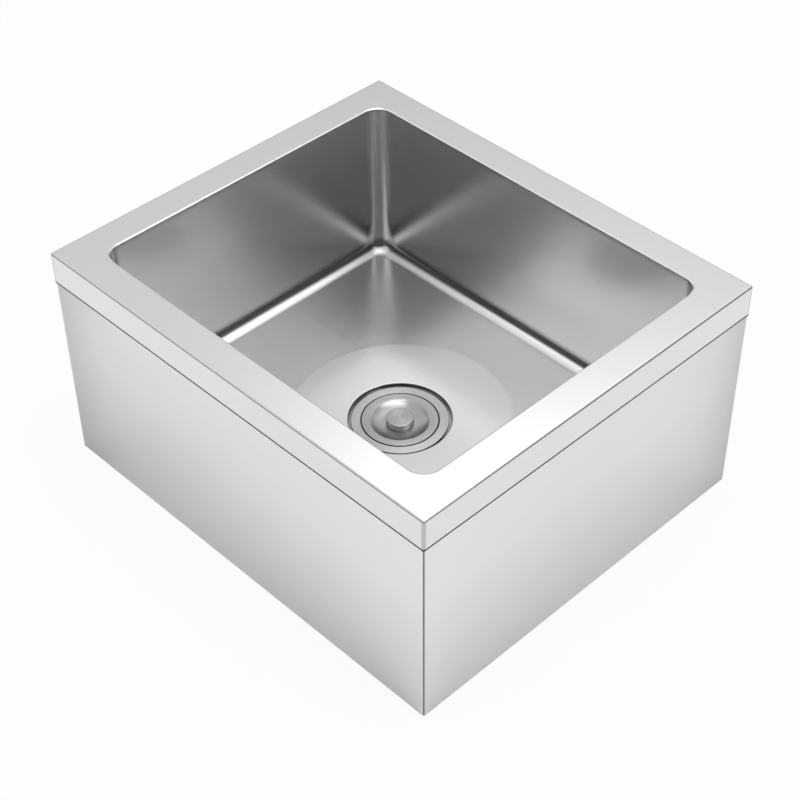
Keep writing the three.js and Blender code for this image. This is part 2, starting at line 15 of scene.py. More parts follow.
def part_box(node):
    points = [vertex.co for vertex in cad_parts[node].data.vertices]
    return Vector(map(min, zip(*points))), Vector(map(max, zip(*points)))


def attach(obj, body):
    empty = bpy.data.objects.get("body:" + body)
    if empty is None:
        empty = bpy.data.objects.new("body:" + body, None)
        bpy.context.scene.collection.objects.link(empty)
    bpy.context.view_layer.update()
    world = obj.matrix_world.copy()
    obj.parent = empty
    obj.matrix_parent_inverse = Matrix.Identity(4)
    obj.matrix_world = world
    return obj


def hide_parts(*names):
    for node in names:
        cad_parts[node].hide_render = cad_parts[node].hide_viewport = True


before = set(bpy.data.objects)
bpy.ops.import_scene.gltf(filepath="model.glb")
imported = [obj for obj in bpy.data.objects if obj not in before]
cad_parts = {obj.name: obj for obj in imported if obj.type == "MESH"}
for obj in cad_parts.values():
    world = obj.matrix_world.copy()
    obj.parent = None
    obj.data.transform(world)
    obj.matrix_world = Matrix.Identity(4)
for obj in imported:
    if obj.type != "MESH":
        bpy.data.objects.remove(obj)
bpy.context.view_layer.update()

MM = 0.001

# ------------------------------------------------------------------ sizes

deck_low, deck_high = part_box("rim_deck")
bowl_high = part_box("bowl")[1]
strainer_low, strainer_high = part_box("strainer_body")
basket_low, basket_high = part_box("basket")
cover_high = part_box("cover_plate")[1]
knob_low, knob_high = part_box("cover_knob")

SHEET = 1.2 * MM
WELD_GAP = 0.05 * MM
THREAD_GAP = 0.3 * MM
LIFT_GAP = 0.3 * MM
RIM_WIDTH = 40 * MM
DECK_CORNER = 2.5 * MM
DECK_FOLD = 2 * MM
OPENING_BEVEL = 1.4 * MM
OPENING_BEVEL_DROP = 0.8 * MM
BEVEL_TOP_EASE = 0.4 * MM
BEVEL_FOOT_EASE = 0.2 * MM

BOWL_CORNER = 22 * MM
BOWL_LIP = 10 * MM
LIP_FOLD = 2.4 * MM
LIP_EDGE = 0.1 * MM
WALL_DROP = 213 * MM
FLOOR_FILLET = 15 * MM
TOE_CORNER = 10 * MM
FLOOR_FALL = 3.4 * MM
DISH_RADIUS = 131 * MM
DISH_FALL = 2.2 * MM
DISH_EASE = 3 * MM
RECESS_RADIUS = 60.5 * MM
RECESS_DEPTH = 4.8 * MM
RECESS_FOLD = 1 * MM

CASING_FOLD = 1.6 * MM
BASE_FLANGE = 20 * MM
TOP_FLANGE = 15 * MM
END_EASE = 0.8 * MM
END_EASE_DEPTH = 0.3 * MM

MOUTH_RADIUS = 46 * MM
LEDGE_DROP = 4 * MM
CUP_RADIUS = 40 * MM
CUP_DEPTH = 33 * MM
CUP_FOLD = 4 * MM
OUTLET_RADIUS = 20 * MM
SPIGOT_WALL = 3 * MM
HOLE_GAP = 0.4 * MM

COVER_SHEET = 1 * MM
COVER_EDGE = 2.6 * MM
COVER_RING = 10 * MM
COVER_SEAT = 19 * MM
COVER_ROUND = 0.55 * MM
COVER_FOOT = 0.15 * MM
COVER_SHOULDER = ((1.2 * MM, 0), (0.5 * MM, 0.03 * MM))
COVER_DISH_FALL = cover_high.z - knob_low.z + WELD_GAP

KNOB_WAIST = 0.5 * MM
KNOB_ROUND = 1.2 * MM
SCREW_BORE = 1.8 * MM
SCREW_DEPTH = 5 * MM
SOCKET_RADIUS = 1.3 * MM
SOCKET_DEPTH = 0.9 * MM

BASKET_SHEET = 0.8 * MM
BASKET_RIM = 1 * MM
BASKET_BOTTOM = 31 * MM
BASKET_FOLD = 3 * MM
SLOTS = 16
SLOT_WIDTH = 2.6 * MM
SLOT_LENGTH = 10 * MM
HOLE_RADIUS = 2.2 * MM
CUTTER_SPARE = 1 * MM
NEARLY_HALF = 0.499
HOLE_RINGS = ((13 * MM, 6), (22.5 * MM, 12))
POST_STEM = 2.5 * MM
POST_COLLAR = 1.5 * MM
POST_HEAD_HEIGHT = 4 * MM
STOPPER_THICKNESS = 3 * MM
STOPPER_CONE = 2.1 * MM
STOPPER_HUB = 8 * MM

TAIL_BORE = 17.5 * MM
TAIL_WALL = 1.6 * MM
TAIL_FLANGE = 1.8 * MM
LUGS = 6
LUG_LENGTH = 5 * MM
LUG_WIDTH = 12 * MM
SLIP_NUT_FLATS = 8
POST_NUT_FLATS = 6

# How far edges are rounded, from a socket's to a hub's
SOCKET_EDGE = 0.15 * MM
SCRAPED_EDGE = 0.2 * MM
FINE_EDGE = 0.25 * MM
CUT_EDGE = 0.3 * MM
DULLED_EDGE = 0.4 * MM
SOFT_EDGE = 0.5 * MM
DRAWN_EDGE = 0.6 * MM
LUG_EDGE = 0.7 * MM
FOLDED_EDGE = 0.8 * MM
MOULDED_EDGE = 1 * MM
HUB_FOOT = 2 * MM

# How finely the curves are drawn
TURNED_STEPS = 160
FEW_STEPS = 64
CORNER_STEPS = 20
SIDE_STEPS = 18
FILLET_STEPS = 18
LIP_STEPS = 3
DISH_EASE_STEPS = 3
COVER_DISH_STEPS = 14
EASE_STEPS = 5
LUG_STEPS = 12
SLIP_NUT_STEPS = 8
POST_NUT_STEPS = 4
NUT_EDGE_STEPS = 3
SOFT_EDGE_STEPS = 2
HOLE_STEPS = 20
SLOT_END_STEPS = 5
WIDEST_RAY = math.radians(3)

# Where the bowl's rings lie: on its wall, on its floor as shares of the way to the dish, in its dish
# by radius in millimetres, and on the strainer's seat
BELOW_LIP = 6 * MM
ABOVE_FILLET = (12 * MM, 3 * MM)
FLOOR_SHARES = (0.03, 0.12, 0.3, 0.5, 0.7, 0.85, 0.94)
DISH_RINGS = (127, 120, 112, 104, 94, 84, 74, 66, 63)
SEAT_INSET = 0.5 * MM

# A point close beside a curve keeps the flat next to it shaded flat
BESIDE_ARC = 0.35
BESIDE_CORNER = math.radians(0.35)
SIDE_END = 0.992

# What counts as the same ray, the same place, the axis, a flat, an edge to round and a sharp edge
SAME_RAY = 1e-5
SAME_PLACE = 1e-6
ON_AXIS = 1e-7
FLAT = math.radians(1)
ROUNDED = math.radians(30)
SHARP = math.radians(38)

# ------------------------------------------------------------------ profiles and rings


def eased(corners):
    """The points of a closed profile with round corners. Each corner is (across, up, radius)."""
    points = []
    for i, (across, up, radius) in enumerate(corners):
        here = Vector((across, up))
        if radius == 0:
            points.append(here)
            continue
        back = (Vector(corners[i - 1][:2]) - here).normalized()
        on = (Vector(corners[(i + 1) % len(corners)][:2]) - here).normalized()
        half = back.angle(on) / 2
        reach = radius / math.tan(half)
        centre = here + (back + on).normalized() * (radius / math.sin(half))
        start = here + back * reach - centre
        end = here + on * reach - centre
        points.append(here + back * (reach + radius * BESIDE_ARC))
        turn = start.angle_signed(end)
        for step in range(EASE_STEPS + 1):
            points.append(centre + Matrix.Rotation(-turn * step / EASE_STEPS, 2) @ start)
        points.append(here + on * (reach + radius * BESIDE_ARC))
    return points


def arc(across, up, radius, start, end, steps):
    """Points of an arc between two angles in degrees."""
    turns = [math.radians(start + (end - start) * step / steps) for step in range(steps + 1)]
    return [Vector((across + radius * math.cos(a), up + radius * math.sin(a))) for a in turns]


def meet(outline, ray):
    """Where a ray from the middle meets a rectangle with round corners. A circle is one as well."""
    half_x, half_y, corner = outline
    cosine, sine = abs(math.cos(ray)), abs(math.sin(ray))
    sign_x = math.copysign(1, math.cos(ray))
    sign_y = math.copysign(1, math.sin(ray))
    if sine * half_x <= cosine * (half_y - corner):
        return Vector((sign_x * half_x, sign_y * half_x * sine / cosine))
    if cosine * half_y <= sine * (half_x - corner):
        return Vector((sign_x * half_y * cosine / sine, sign_y * half_y))
    centre_x, centre_y = half_x - corner, half_y - corner
    along = cosine * centre_x + sine * centre_y
    across = sine * centre_x - cosine * centre_y
    reach = along + math.sqrt(max(0, corner**2 - across**2))
    return Vector((sign_x * cosine * reach, sign_y * sine * reach))


def rays_through(outlines):
    """Rays through every step of the outlines' corners, with none too far apart, all the way round."""
    marks = [0, math.pi / 2]
    for half_x, half_y, corner in outlines:
        for step in range(CORNER_STEPS + 1):
            turn = math.pi / 2 * step / CORNER_STEPS
            x = half_x - corner + corner * math.cos(turn)
            y = half_y - corner + corner * math.sin(turn)
            marks.append(math.atan2(y, x))
        marks += [marks[-1] + BESIDE_CORNER, marks[-1 - CORNER_STEPS] - BESIDE_CORNER]
    marks = sorted(marks)
    apart = [b for a, b in zip([-1] + marks, marks) if b - a > SAME_RAY]
    quarter = []
    for here, there in zip(apart, apart[1:]):
        parts = math.ceil((there - here) / WIDEST_RAY)
        quarter += [here + (there - here) * part / parts for part in range(parts)]
    mirrored = [math.pi - ray for ray in [math.pi / 2] + quarter[:0:-1]]
    half = quarter + mirrored
    return half + [ray + math.pi for ray in half]


def ring(outline, z, rays):
    """The points of an outline at a height, one for each ray."""
    return [meet(outline, ray).to_3d() + Vector((0, 0, z)) for ray in rays]


def track(outline, z):
    """The points of an outline at a height. Those of offset outlines lie side by side."""
    half_x, half_y, corner = outline
    centre_x, centre_y = half_x - corner, half_y - corner
    shares = [step / SIDE_STEPS for step in range(SIDE_STEPS)] + [SIDE_END]
    points = [(half_x, centre_y * share) for share in shares]
    for step in range(CORNER_STEPS + 1):
        turn = math.pi / 2 * step / CORNER_STEPS
        points.append((centre_x + corner * math.cos(turn), centre_y + corner * math.sin(turn)))
    points += [(centre_x * share, half_y) for share in shares[:0:-1]]
    half = points + [(0, half_y)] + [(-x, y) for x, y in points[:0:-1]]
    return [Vector((x, y, z)) for x, y in half] + [Vector((-x, -y, z)) for x, y in half]


def between(first, second, share):
    """A ring part of the way from one ring to another."""
    return [a.lerp(b, share) for a, b in zip(first, second)]


# ------------------------------------------------------------------ making pieces


def shade_smooth(mesh):
    """Shades a mesh smooth between its sharp edges."""
    mesh.polygons.foreach_set("use_smooth", [True] * len(mesh.polygons))
    mesh.set_sharp_from_angle(angle=SHARP)


def add_piece(name, mesh):
    mesh.validate()
    shade_smooth(mesh)
    piece = bpy.data.objects.new(name, mesh)
    bpy.context.scene.collection.objects.link(piece)
    return piece


def skin(name, rings, closed=True):
    """A mesh over a chain of rings that runs up the outside. A ring of one point is a pole."""
    points, starts = [], []
    for loop in rings:
        starts.append(len(points))
        points += loop
    count = max(len(loop) for loop in rings)
    pairs = list(zip(range(len(rings)), range(1, len(rings))))
    if closed:
        pairs.append((len(rings) - 1, 0))
    faces = []
    for low, high in pairs:
        low_pole, high_pole = len(rings[low]) == 1, len(rings[high]) == 1
        for j in range(count):
            k = (j + 1) % count
            if low_pole and high_pole:
                continue
            if low_pole:
                faces.append((starts[low], starts[high] + k, starts[high] + j))
            elif high_pole:
                faces.append((starts[low] + j, starts[low] + k, starts[high]))
            else:
                faces.append((starts[low] + j, starts[low] + k, starts[high] + k, starts[high] + j))
    mesh = bpy.data.meshes.new(name)
    mesh.from_pydata(points, [], faces)
    return add_piece(name, mesh)


def turned(name, profile, steps=TURNED_STEPS):
    """A profile of (radius, height) points turned about the Z axis. It runs up the outside."""
    turns = [2 * math.pi * step / steps for step in range(steps)]
    rings = []
    for radius, z in profile:
        if radius < ON_AXIS:
            rings.append([Vector((0, 0, z))])
        else:
            rings.append([Vector((radius * math.cos(a), radius * math.sin(a), z)) for a in turns])
    return skin(name, rings)


def lathed(name, corners, steps=TURNED_STEPS):
    """A turned piece from a profile whose corners are rounded."""
    return turned(name, eased(corners), steps)


def finished(piece):
    """Applies a piece's modifiers, so that it is a plain mesh."""
    graph = bpy.context.evaluated_depsgraph_get()
    mesh = bpy.data.meshes.new_from_object(piece.evaluated_get(graph))
    piece.modifiers.clear()
    piece.data = mesh
    shade_smooth(mesh)
    return piece


def soften(piece, width, segments=SOFT_EDGE_STEPS):
    """Rounds a piece's edges."""
    bevel = piece.modifiers.new("soft_edges", "BEVEL")
    bevel.width = width
    bevel.segments = segments
    bevel.limit_method = "ANGLE"
    bevel.angle_limit = ROUNDED
    return finished(piece)


def softened_copy(node, width):
    """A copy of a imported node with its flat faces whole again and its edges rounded."""
    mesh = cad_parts[node].data.copy()
    mesh.materials.clear()
    work = bmesh.new()
    work.from_mesh(mesh)
    bmesh.ops.remove_doubles(work, verts=work.verts, dist=SAME_PLACE)
    bmesh.ops.dissolve_limit(work, angle_limit=FLAT, verts=work.verts, edges=work.edges)
    work.to_mesh(mesh)
    work.free()
    return soften(add_piece(f"{node}_soft", mesh), width)


# ------------------------------------------------------------------ nodes


def add(tree, kind, inputs=None, **settings):
    """A node with its settings and its inputs. An input is a value or another node's output."""
    node = tree.nodes.new(kind)
    for name, value in settings.items():
        setattr(node, name, value)
    for name, value in (inputs or {}).items():
        socket = node.inputs[name]
        if isinstance(value, bpy.types.NodeSocket):
            tree.links.new(value, socket)
        else:
            socket.default_value = value
    return node


def use_group(tree, group, inputs):
    return add(tree, "ShaderNodeGroup", inputs, node_tree=group)


def math_node(tree, operation, first, second=0.0):
    return add(tree, "ShaderNodeMath", {0: first, 1: second}, operation=operation).outputs[0]


def product(tree, first, second):
    return math_node(tree, "MULTIPLY", first, second)


def total(tree, first, second):
    return math_node(tree, "ADD", first, second)


def left_by(tree, share):
    """What a share leaves of one."""
    return math_node(tree, "SUBTRACT", 1.0, share)


def span(tree, value, low, high, to_low, to_high):
    """Maps a value from one span to another, and clamps it."""
    inputs = {"Value": value, "From Min": low, "From Max": high, "To Min": to_low, "To Max": to_high}
    return add(tree, "ShaderNodeMapRange", inputs).outputs["Result"]


def grey(value):
    return (value, value, value, 1)


def mix_color(tree, share, first, second):
    return add(tree, "ShaderNodeMix", {0: share, 6: first, 7: second}, data_type="RGBA").outputs[2]


# ------------------------------------------------------------------ deck


def deck_outline(inset):
    """The deck's outer edge moved inwards. Past the rim's middle, the opening's edge moved outwards."""
    half_x, half_y = deck_high.x - inset, deck_high.y - inset
    if inset > RIM_WIDTH / 2:
        return half_x, half_y, BOWL_CORNER + RIM_WIDTH - inset
    return half_x, half_y, max(DECK_CORNER - inset, CUT_EDGE)


def make_deck():
    """The flat rim, with its skirt folded down outside and a bevel at the opening."""
    top, skirt = deck_high.z, deck_low.z
    profile = eased(
        [
            (0, skirt, CUT_EDGE),
            (0, top, DECK_FOLD),
            (RIM_WIDTH - OPENING_BEVEL, top, BEVEL_TOP_EASE),
            (RIM_WIDTH, top - OPENING_BEVEL_DROP, BEVEL_FOOT_EASE),
            (RIM_WIDTH, top - SHEET, 0),
            (SHEET, top - SHEET, DECK_FOLD - SHEET),
            (SHEET, skirt, CUT_EDGE),
        ]
    )
    rays = rays_through([deck_outline(0), deck_outline(RIM_WIDTH)])
    return skin("deck", [ring(deck_outline(inset), z, rays) for inset, z in profile])


# ------------------------------------------------------------------ bowl

lip_top = bowl_high.z
floor_at_wall = deck_high.z - WALL_DROP
floor_at_dish = floor_at_wall - FLOOR_FALL
floor_at_recess = floor_at_dish - DISH_FALL
recess_floor = floor_at_recess - RECESS_DEPTH
bowl_hole = MOUTH_RADIUS + SHEET + HOLE_GAP


def wall_outline(inset, corner=None):
    """The bowl's wall moved inwards."""
    half_x = deck_high.x - RIM_WIDTH - inset
    half_y = deck_high.y - RIM_WIDTH - inset
    return half_x, half_y, BOWL_CORNER - inset if corner is None else corner


def circle(radius):
    """A circle, as an outline with nothing but corners."""
    return radius, radius, radius


def bowl_face(down):
    """The rings of the bowl's upper face, or of the face a sheet's thickness below it."""
    tighter = (BOWL_CORNER - TOE_CORNER) / FLOOR_FILLET
    fillet_top = floor_at_wall + FLOOR_FILLET
    rings = []
    for z in (lip_top - BELOW_LIP, *(fillet_top + above for above in ABOVE_FILLET)):
        rings.append(track(wall_outline(-down), z))
    for inset, z in arc(FLOOR_FILLET, fillet_top, FLOOR_FILLET + down, 180, 270, FILLET_STEPS):
        rings.append(track(wall_outline(inset, BOWL_CORNER - inset * tighter), z))
    toe = rings[-1]
    rays = [math.atan2(point.y, point.x) for point in toe]
    rim = ring(circle(DISH_RADIUS), floor_at_dish - down, rays)
    for share in FLOOR_SHARES:
        rings.append(between(toe, rim, share))
    fall = DISH_FALL / (DISH_RADIUS - RECESS_RADIUS - RECESS_FOLD)
    for step in range(DISH_EASE_STEPS + 1):
        outside = 1 - step / DISH_EASE_STEPS
        radius = DISH_RADIUS + DISH_EASE * (outside - 0.5)
        below = fall * DISH_EASE * (1 - outside) ** 2 / 4
        rings.append(ring(circle(radius), floor_at_dish - down - below, rays))
    for radius in DISH_RINGS:
        depth = (DISH_RADIUS - radius * MM) * fall
        rings.append(ring(circle(radius * MM), floor_at_dish - depth - down, rays))
    recess = RECESS_RADIUS + down
    fold_foot = floor_at_recess - down - RECESS_FOLD
    for across, z in arc(recess + RECESS_FOLD, fold_foot, RECESS_FOLD, 90, 180, EASE_STEPS):
        rings.append(ring(circle(across), z, rays))
    for z in (recess_floor + RECESS_FOLD - down, recess_floor - down):
        rings.append(ring(circle(recess), z, rays))
    for radius in (recess - SEAT_INSET, bowl_hole + SEAT_INSET, bowl_hole):
        rings.append(ring(circle(radius), recess_floor - down, rays))
    return rings


def make_bowl():
    """The bowl between its upper and lower faces, with a lip under the deck and a hole for the cup."""
    upper = [track(wall_outline(-BOWL_LIP), lip_top)]
    for inset, z in arc(-LIP_EDGE, lip_top - LIP_EDGE, LIP_EDGE, 90, 0, LIP_STEPS):
        upper.append(track(wall_outline(inset), z))
    upper += bowl_face(0)
    lower = bowl_face(SHEET)[::-1]
    fold_foot = lip_top - SHEET - LIP_FOLD
    for outset, z in arc(SHEET + LIP_FOLD, fold_foot, LIP_FOLD, 180, 90, EASE_STEPS):
        lower.append(track(wall_outline(-outset), z))
    lower.append(track(wall_outline(-BOWL_LIP), lip_top - SHEET))
    return skin("drawn_bowl", upper + lower)


# ------------------------------------------------------------------ casing


def drawn_in(points, distance):
    """A closed profile moved inwards by a distance. The profile runs anticlockwise."""
    moved = []
    for i, here in enumerate(points):
        before = (here - points[i - 1]).normalized()
        after = (points[(i + 1) % len(points)] - here).normalized()
        inwards = Vector((-before.y - after.y, before.x + after.x)).normalized()
        moved.append(here + inwards * distance)
    return moved


def closed_ends(piece):
    """Fills both open ends of a tube and turns its faces outwards."""
    work = bmesh.new()
    work.from_mesh(piece.data)
    bmesh.ops.holes_fill(work, edges=[e for e in work.edges if e.is_boundary])
    bmesh.ops.triangulate(work, faces=[f for f in work.faces if len(f.verts) > 4])
    bmesh.ops.recalc_face_normals(work, faces=work.faces)
    work.to_mesh(piece.data)
    work.free()
    return piece


def casing_panel(side, turn):
    """A panel with a base flange and a top flange, mitred at both ends, drawn facing the front."""
    low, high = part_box(f"casing_{side}")
    along_x = side in ("front", "back")
    half = high.x if along_x else high.y
    face = max(abs(low.y), abs(high.y)) if along_x else max(abs(low.x), abs(high.x))
    profile = eased(
        [
            (0, 0, CASING_FOLD),
            (BASE_FLANGE, 0, 0),
            (BASE_FLANGE, SHEET, 0),
            (SHEET, SHEET, CASING_FOLD - SHEET),
            (SHEET, high.z - SHEET, CASING_FOLD - SHEET),
            (TOP_FLANGE, high.z - SHEET, 0),
            (TOP_FLANGE, high.z, 0),
            (0, high.z, CASING_FOLD),
        ]
    )
    inner = drawn_in(profile, END_EASE_DEPTH)
    spin = Matrix.Rotation(turn, 3, "Z")
    stations = []
    loops = ((-1, inner, 0), (-1, profile, END_EASE), (1, profile, END_EASE), (1, inner, 0))
    for end, loop, ease in loops:
        stations.append([spin @ Vector((end * (half - ease - b), b - face, z)) for b, z in loop])
    return closed_ends(skin(f"panel_{side}", stations, closed=False))


# ------------------------------------------------------------------ strainer, basket and cover

FLANGE_RADIUS = strainer_high.x
flange_top = strainer_high.z
flange_under = flange_top - SHEET
ledge = flange_top - LEDGE_DROP
cup_floor = ledge - CUP_DEPTH


def make_strainer():
    """A flanged cup with a ledge for the basket and a spigot at the bottom."""
    spigot = OUTLET_RADIUS + SPIGOT_WALL
    cup = CUP_RADIUS + SHEET
    step = MOUTH_RADIUS + SHEET
    edge = FINE_EDGE
    return lathed(
        "strainer",
        [
            (FLANGE_RADIUS, flange_under, edge),
            (FLANGE_RADIUS, flange_top, SOFT_EDGE),
            (MOUTH_RADIUS, flange_top, DRAWN_EDGE),
            (MOUTH_RADIUS, ledge, edge),
            (CUP_RADIUS, ledge, FOLDED_EDGE),
            (CUP_RADIUS, cup_floor, CUP_FOLD),
            (OUTLET_RADIUS, cup_floor, FOLDED_EDGE),
            (OUTLET_RADIUS, strainer_low.z, edge),
            (spigot, strainer_low.z, edge),
            (spigot, cup_floor - SHEET, 0),
            (cup, cup_floor - SHEET, CUP_FOLD + SHEET),
            (cup, ledge - SHEET, 0),
            (step, ledge - SHEET, edge),
            (step, flange_under, 0),
        ],
    )


def make_cover():
    """A flat ring with a shallow dished middle, bored for the knob's screw."""
    radius = cover_high.x
    top = cover_high.z
    low = top - COVER_EDGE
    seat = top - COVER_DISH_FALL
    rim = radius - COVER_RING
    across = rim - COVER_SEAT
    bend = (across**2 + COVER_DISH_FALL**2) / (2 * COVER_DISH_FALL)
    lean = math.degrees(math.asin(across / bend))
    bore = SCREW_BORE
    corners = [(0, low, 0), (radius, low, COVER_FOOT), (radius, top, COVER_ROUND), (0, top, 0)]
    outside = eased(corners)[1:-1]
    dish = arc(COVER_SEAT, seat + bend, bend, lean - 90, -90, COVER_DISH_STEPS)
    under = arc(COVER_SEAT, seat + bend, bend + COVER_SHEET, -90, lean - 90, COVER_DISH_STEPS)
    shoulder = [Vector((rim + out, top - down)) for out, down in COVER_SHOULDER]
    profile = outside + shoulder + dish[1:]
    profile += [Vector((bore, seat)), Vector((bore, seat - COVER_SHEET))] + under
    profile += [
        Vector((rim + COVER_SHEET, top - COVER_SHEET)),
        Vector((radius - COVER_SHEET, top - COVER_SHEET)),
        Vector((radius - COVER_SHEET, low)),
    ]
    return turned("cover", profile)


def make_knob():
    """The knob, bored from below for its screw."""
    radius, low, top = knob_high.x, knob_low.z, knob_high.z
    bored = low + SCREW_DEPTH + WELD_GAP
    return lathed(
        "knob",
        [
            (SCREW_BORE, low, 0),
            (radius - KNOB_WAIST, low, CUT_EDGE),
            (radius, (low + top) / 2, MOULDED_EDGE),
            (radius, top, KNOB_ROUND),
            (0, top, 0),
            (0, bored, 0),
            (SCREW_BORE, bored, 0),
        ],
    )


def make_knob_screw():
    """A pan-headed screw with a round socket."""
    low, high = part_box("knob_screw")
    head_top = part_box("knob_washer")[0].z - WELD_GAP
    shank = SCREW_BORE - THREAD_GAP
    return lathed(
        "knob_screw_turned",
        [
            (0, low.z + SOCKET_DEPTH, 0),
            (SOCKET_RADIUS, low.z + SOCKET_DEPTH, 0),
            (SOCKET_RADIUS, low.z, SOCKET_EDGE),
            (high.x, low.z, DULLED_EDGE),
            (high.x, head_top, SCRAPED_EDGE),
            (shank, head_top, 0),
            (shank, high.z, CUT_EDGE),
            (0, high.z, 0),
        ],
        FEW_STEPS,
    )


def make_basket_shell():
    """The basket before its slots and holes are cut."""
    rim_low, rim_top = basket_high.z - BASKET_RIM, basket_high.z
    floor_low = basket_low.z
    top = CUP_RADIUS - 2 * LIFT_GAP
    inside = top - BASKET_SHEET
    bore = POST_STEM + LIFT_GAP
    edge = FINE_EDGE
    return lathed(
        "basket_shell",
        [
            (basket_high.x, rim_low, edge),
            (basket_high.x, rim_top, edge),
            (inside, rim_top, FOLDED_EDGE),
            (BASKET_BOTTOM, floor_low + BASKET_SHEET, BASKET_FOLD),
            (bore, floor_low + BASKET_SHEET, 0),
            (bore, floor_low, 0),
            (BASKET_BOTTOM + BASKET_SHEET, floor_low, BASKET_FOLD + BASKET_SHEET),
            (top, rim_low, 0),
        ],
    )


def copies_round(tree, cutter, count):
    """Copies of a cutter, evenly turned about the Z axis, with the first one half a step round."""
    points = add(tree, "GeometryNodePoints", {"Count": count})
    step = math_node(tree, "DIVIDE", 2 * math.pi, count)
    index = add(tree, "GeometryNodeInputIndex")
    turn = product(tree, total(tree, index.outputs[0], 0.5), step)
    spin = add(tree, "ShaderNodeCombineXYZ", {"Z": turn})
    placed = {"Points": points.outputs[0], "Instance": cutter, "Rotation": spin.outputs[0]}
    return add(tree, "GeometryNodeInstanceOnPoints", placed).outputs[0]


def perforation_tree():
    """Cuts rows of slots through a basket's wall and rings of holes through its floor."""
    tree = bpy.data.node_groups.new("basket_perforations", "GeometryNodeTree")
    face = tree.interface
    face.new_socket("Geometry", in_out="INPUT", socket_type="NodeSocketGeometry")
    counts = ("Slots", "Inner Holes", "Outer Holes")
    sizes = ("Slot Width", "Slot Length", "Slot Reach", "Slot Place", "Slot Height")
    sizes += ("Hole Radius", "Hole Depth", "Floor", "Inner Ring", "Outer Ring")
    for label in counts:
        face.new_socket(label, in_out="INPUT", socket_type="NodeSocketInt")
    for label in sizes:
        face.new_socket(label, in_out="INPUT", socket_type="NodeSocketFloat")
    face.new_socket("Material", in_out="INPUT", socket_type="NodeSocketMaterial")
    face.new_socket("Geometry", in_out="OUTPUT", socket_type="NodeSocketGeometry")
    given = tree.nodes.new("NodeGroupInput").outputs
    outwards = (0, math.radians(90), 0)

    # A punch for one slot: a bar with round ends, laid along X
    size = {"Width": given["Slot Length"], "Height": given["Slot Width"]}
    outline = add(tree, "GeometryNodeCurvePrimitiveQuadrilateral", size).outputs[0]
    half_width = product(tree, given["Slot Width"], NEARLY_HALF)
    ends = {"Curve": outline, "Radius": half_width, "Count": SLOT_END_STEPS}
    rounded = add(tree, "GeometryNodeFilletCurve", ends, mode="POLY").outputs[0]
    run = add(tree, "ShaderNodeCombineXYZ", {"Z": given["Slot Reach"]}).outputs[0]
    back = add(tree, "ShaderNodeVectorMath", {0: run, "Scale": -1.0}, operation="SCALE").outputs[0]
    path = add(tree, "GeometryNodeCurvePrimitiveLine", {"Start": back, "End": run}).outputs[0]
    sweep = {"Curve": path, "Profile Curve": rounded, "Fill Caps": True}
    punch = add(tree, "GeometryNodeCurveToMesh", sweep).outputs[0]
    slot_spot = {"X": given["Slot Place"], "Z": given["Slot Height"]}
    spot = add(tree, "ShaderNodeCombineXYZ", slot_spot).outputs[0]
    placed = {"Geometry": punch, "Translation": spot, "Rotation": outwards}
    slot = add(tree, "GeometryNodeTransform", placed).outputs[0]
    cutters = [copies_round(tree, slot, given["Slots"])]

    # A drill for one hole, at each ring's radius
    size = {"Vertices": HOLE_STEPS, "Radius": given["Hole Radius"], "Depth": given["Hole Depth"]}
    drill = add(tree, "GeometryNodeMeshCylinder", size).outputs[0]
    for row in ("Inner", "Outer"):
        hole_spot = {"X": given[f"{row} Ring"], "Z": given["Floor"]}
        spot = add(tree, "ShaderNodeCombineXYZ", hole_spot).outputs[0]
        hole = add(tree, "GeometryNodeTransform", {"Geometry": drill, "Translation": spot}).outputs[0]
        cutters.append(copies_round(tree, hole, given[f"{row} Holes"]))

    joined = tree.nodes.new("GeometryNodeJoinGeometry")
    for cutter in cutters:
        tree.links.new(cutter, joined.inputs[0])
    real = add(tree, "GeometryNodeRealizeInstances", {"Geometry": joined.outputs[0]}).outputs[0]
    cut = add(tree, "GeometryNodeMeshBoolean", operation="DIFFERENCE", solver="EXACT")
    tree.links.new(given["Geometry"], cut.inputs["Mesh 1"])
    tree.links.new(real, cut.inputs["Mesh 2"])
    basket = add(tree, "GeometryNodeRealizeInstances", {"Geometry": cut.outputs["Mesh"]}).outputs[0]
    finish = {"Geometry": basket, "Material": given["Material"]}
    painted = add(tree, "GeometryNodeSetMaterial", finish).outputs[0]
    tree.links.new(painted, tree.nodes.new("NodeGroupOutput").inputs[0])
    return tree


def make_basket():
    """The basket's shell with its perforations cut."""
    shell = make_basket_shell()
    rim_low = basket_high.z - BASKET_RIM
    fold_top = basket_low.z + BASKET_SHEET + BASKET_FOLD
    slot_height = (fold_top + rim_low) / 2
    inside = CUP_RADIUS - 2 * LIFT_GAP - BASKET_SHEET
    lean = (inside - BASKET_BOTTOM) / (basket_high.z - fold_top)
    (inner_ring, inner_holes), (outer_ring, outer_holes) = HOLE_RINGS
    values = {
        "Slots": SLOTS,
        "Slot Width": SLOT_WIDTH,
        "Slot Length": SLOT_LENGTH,
        "Slot Reach": lean * SLOT_LENGTH / 2 + BASKET_SHEET + CUTTER_SPARE,
        "Slot Place": BASKET_BOTTOM + lean * (slot_height - fold_top),
        "Slot Height": slot_height,
        "Hole Radius": HOLE_RADIUS,
        "Hole Depth": 2 * (BASKET_SHEET + CUTTER_SPARE),
        "Floor": basket_low.z + BASKET_SHEET / 2,
        "Inner Ring": inner_ring,
        "Inner Holes": inner_holes,
        "Outer Ring": outer_ring,
        "Outer Holes": outer_holes,
        "Material": BASKET_STEEL[1],
    }
    cutting = shell.modifiers.new("perforations", "NODES")
    cutting.node_group = perforation_tree()
    for item in cutting.node_group.interface.items_tree:
        if item.in_out == "INPUT" and item.name in values:
            cutting[item.identifier] = values[item.name]
    return finished(shell)


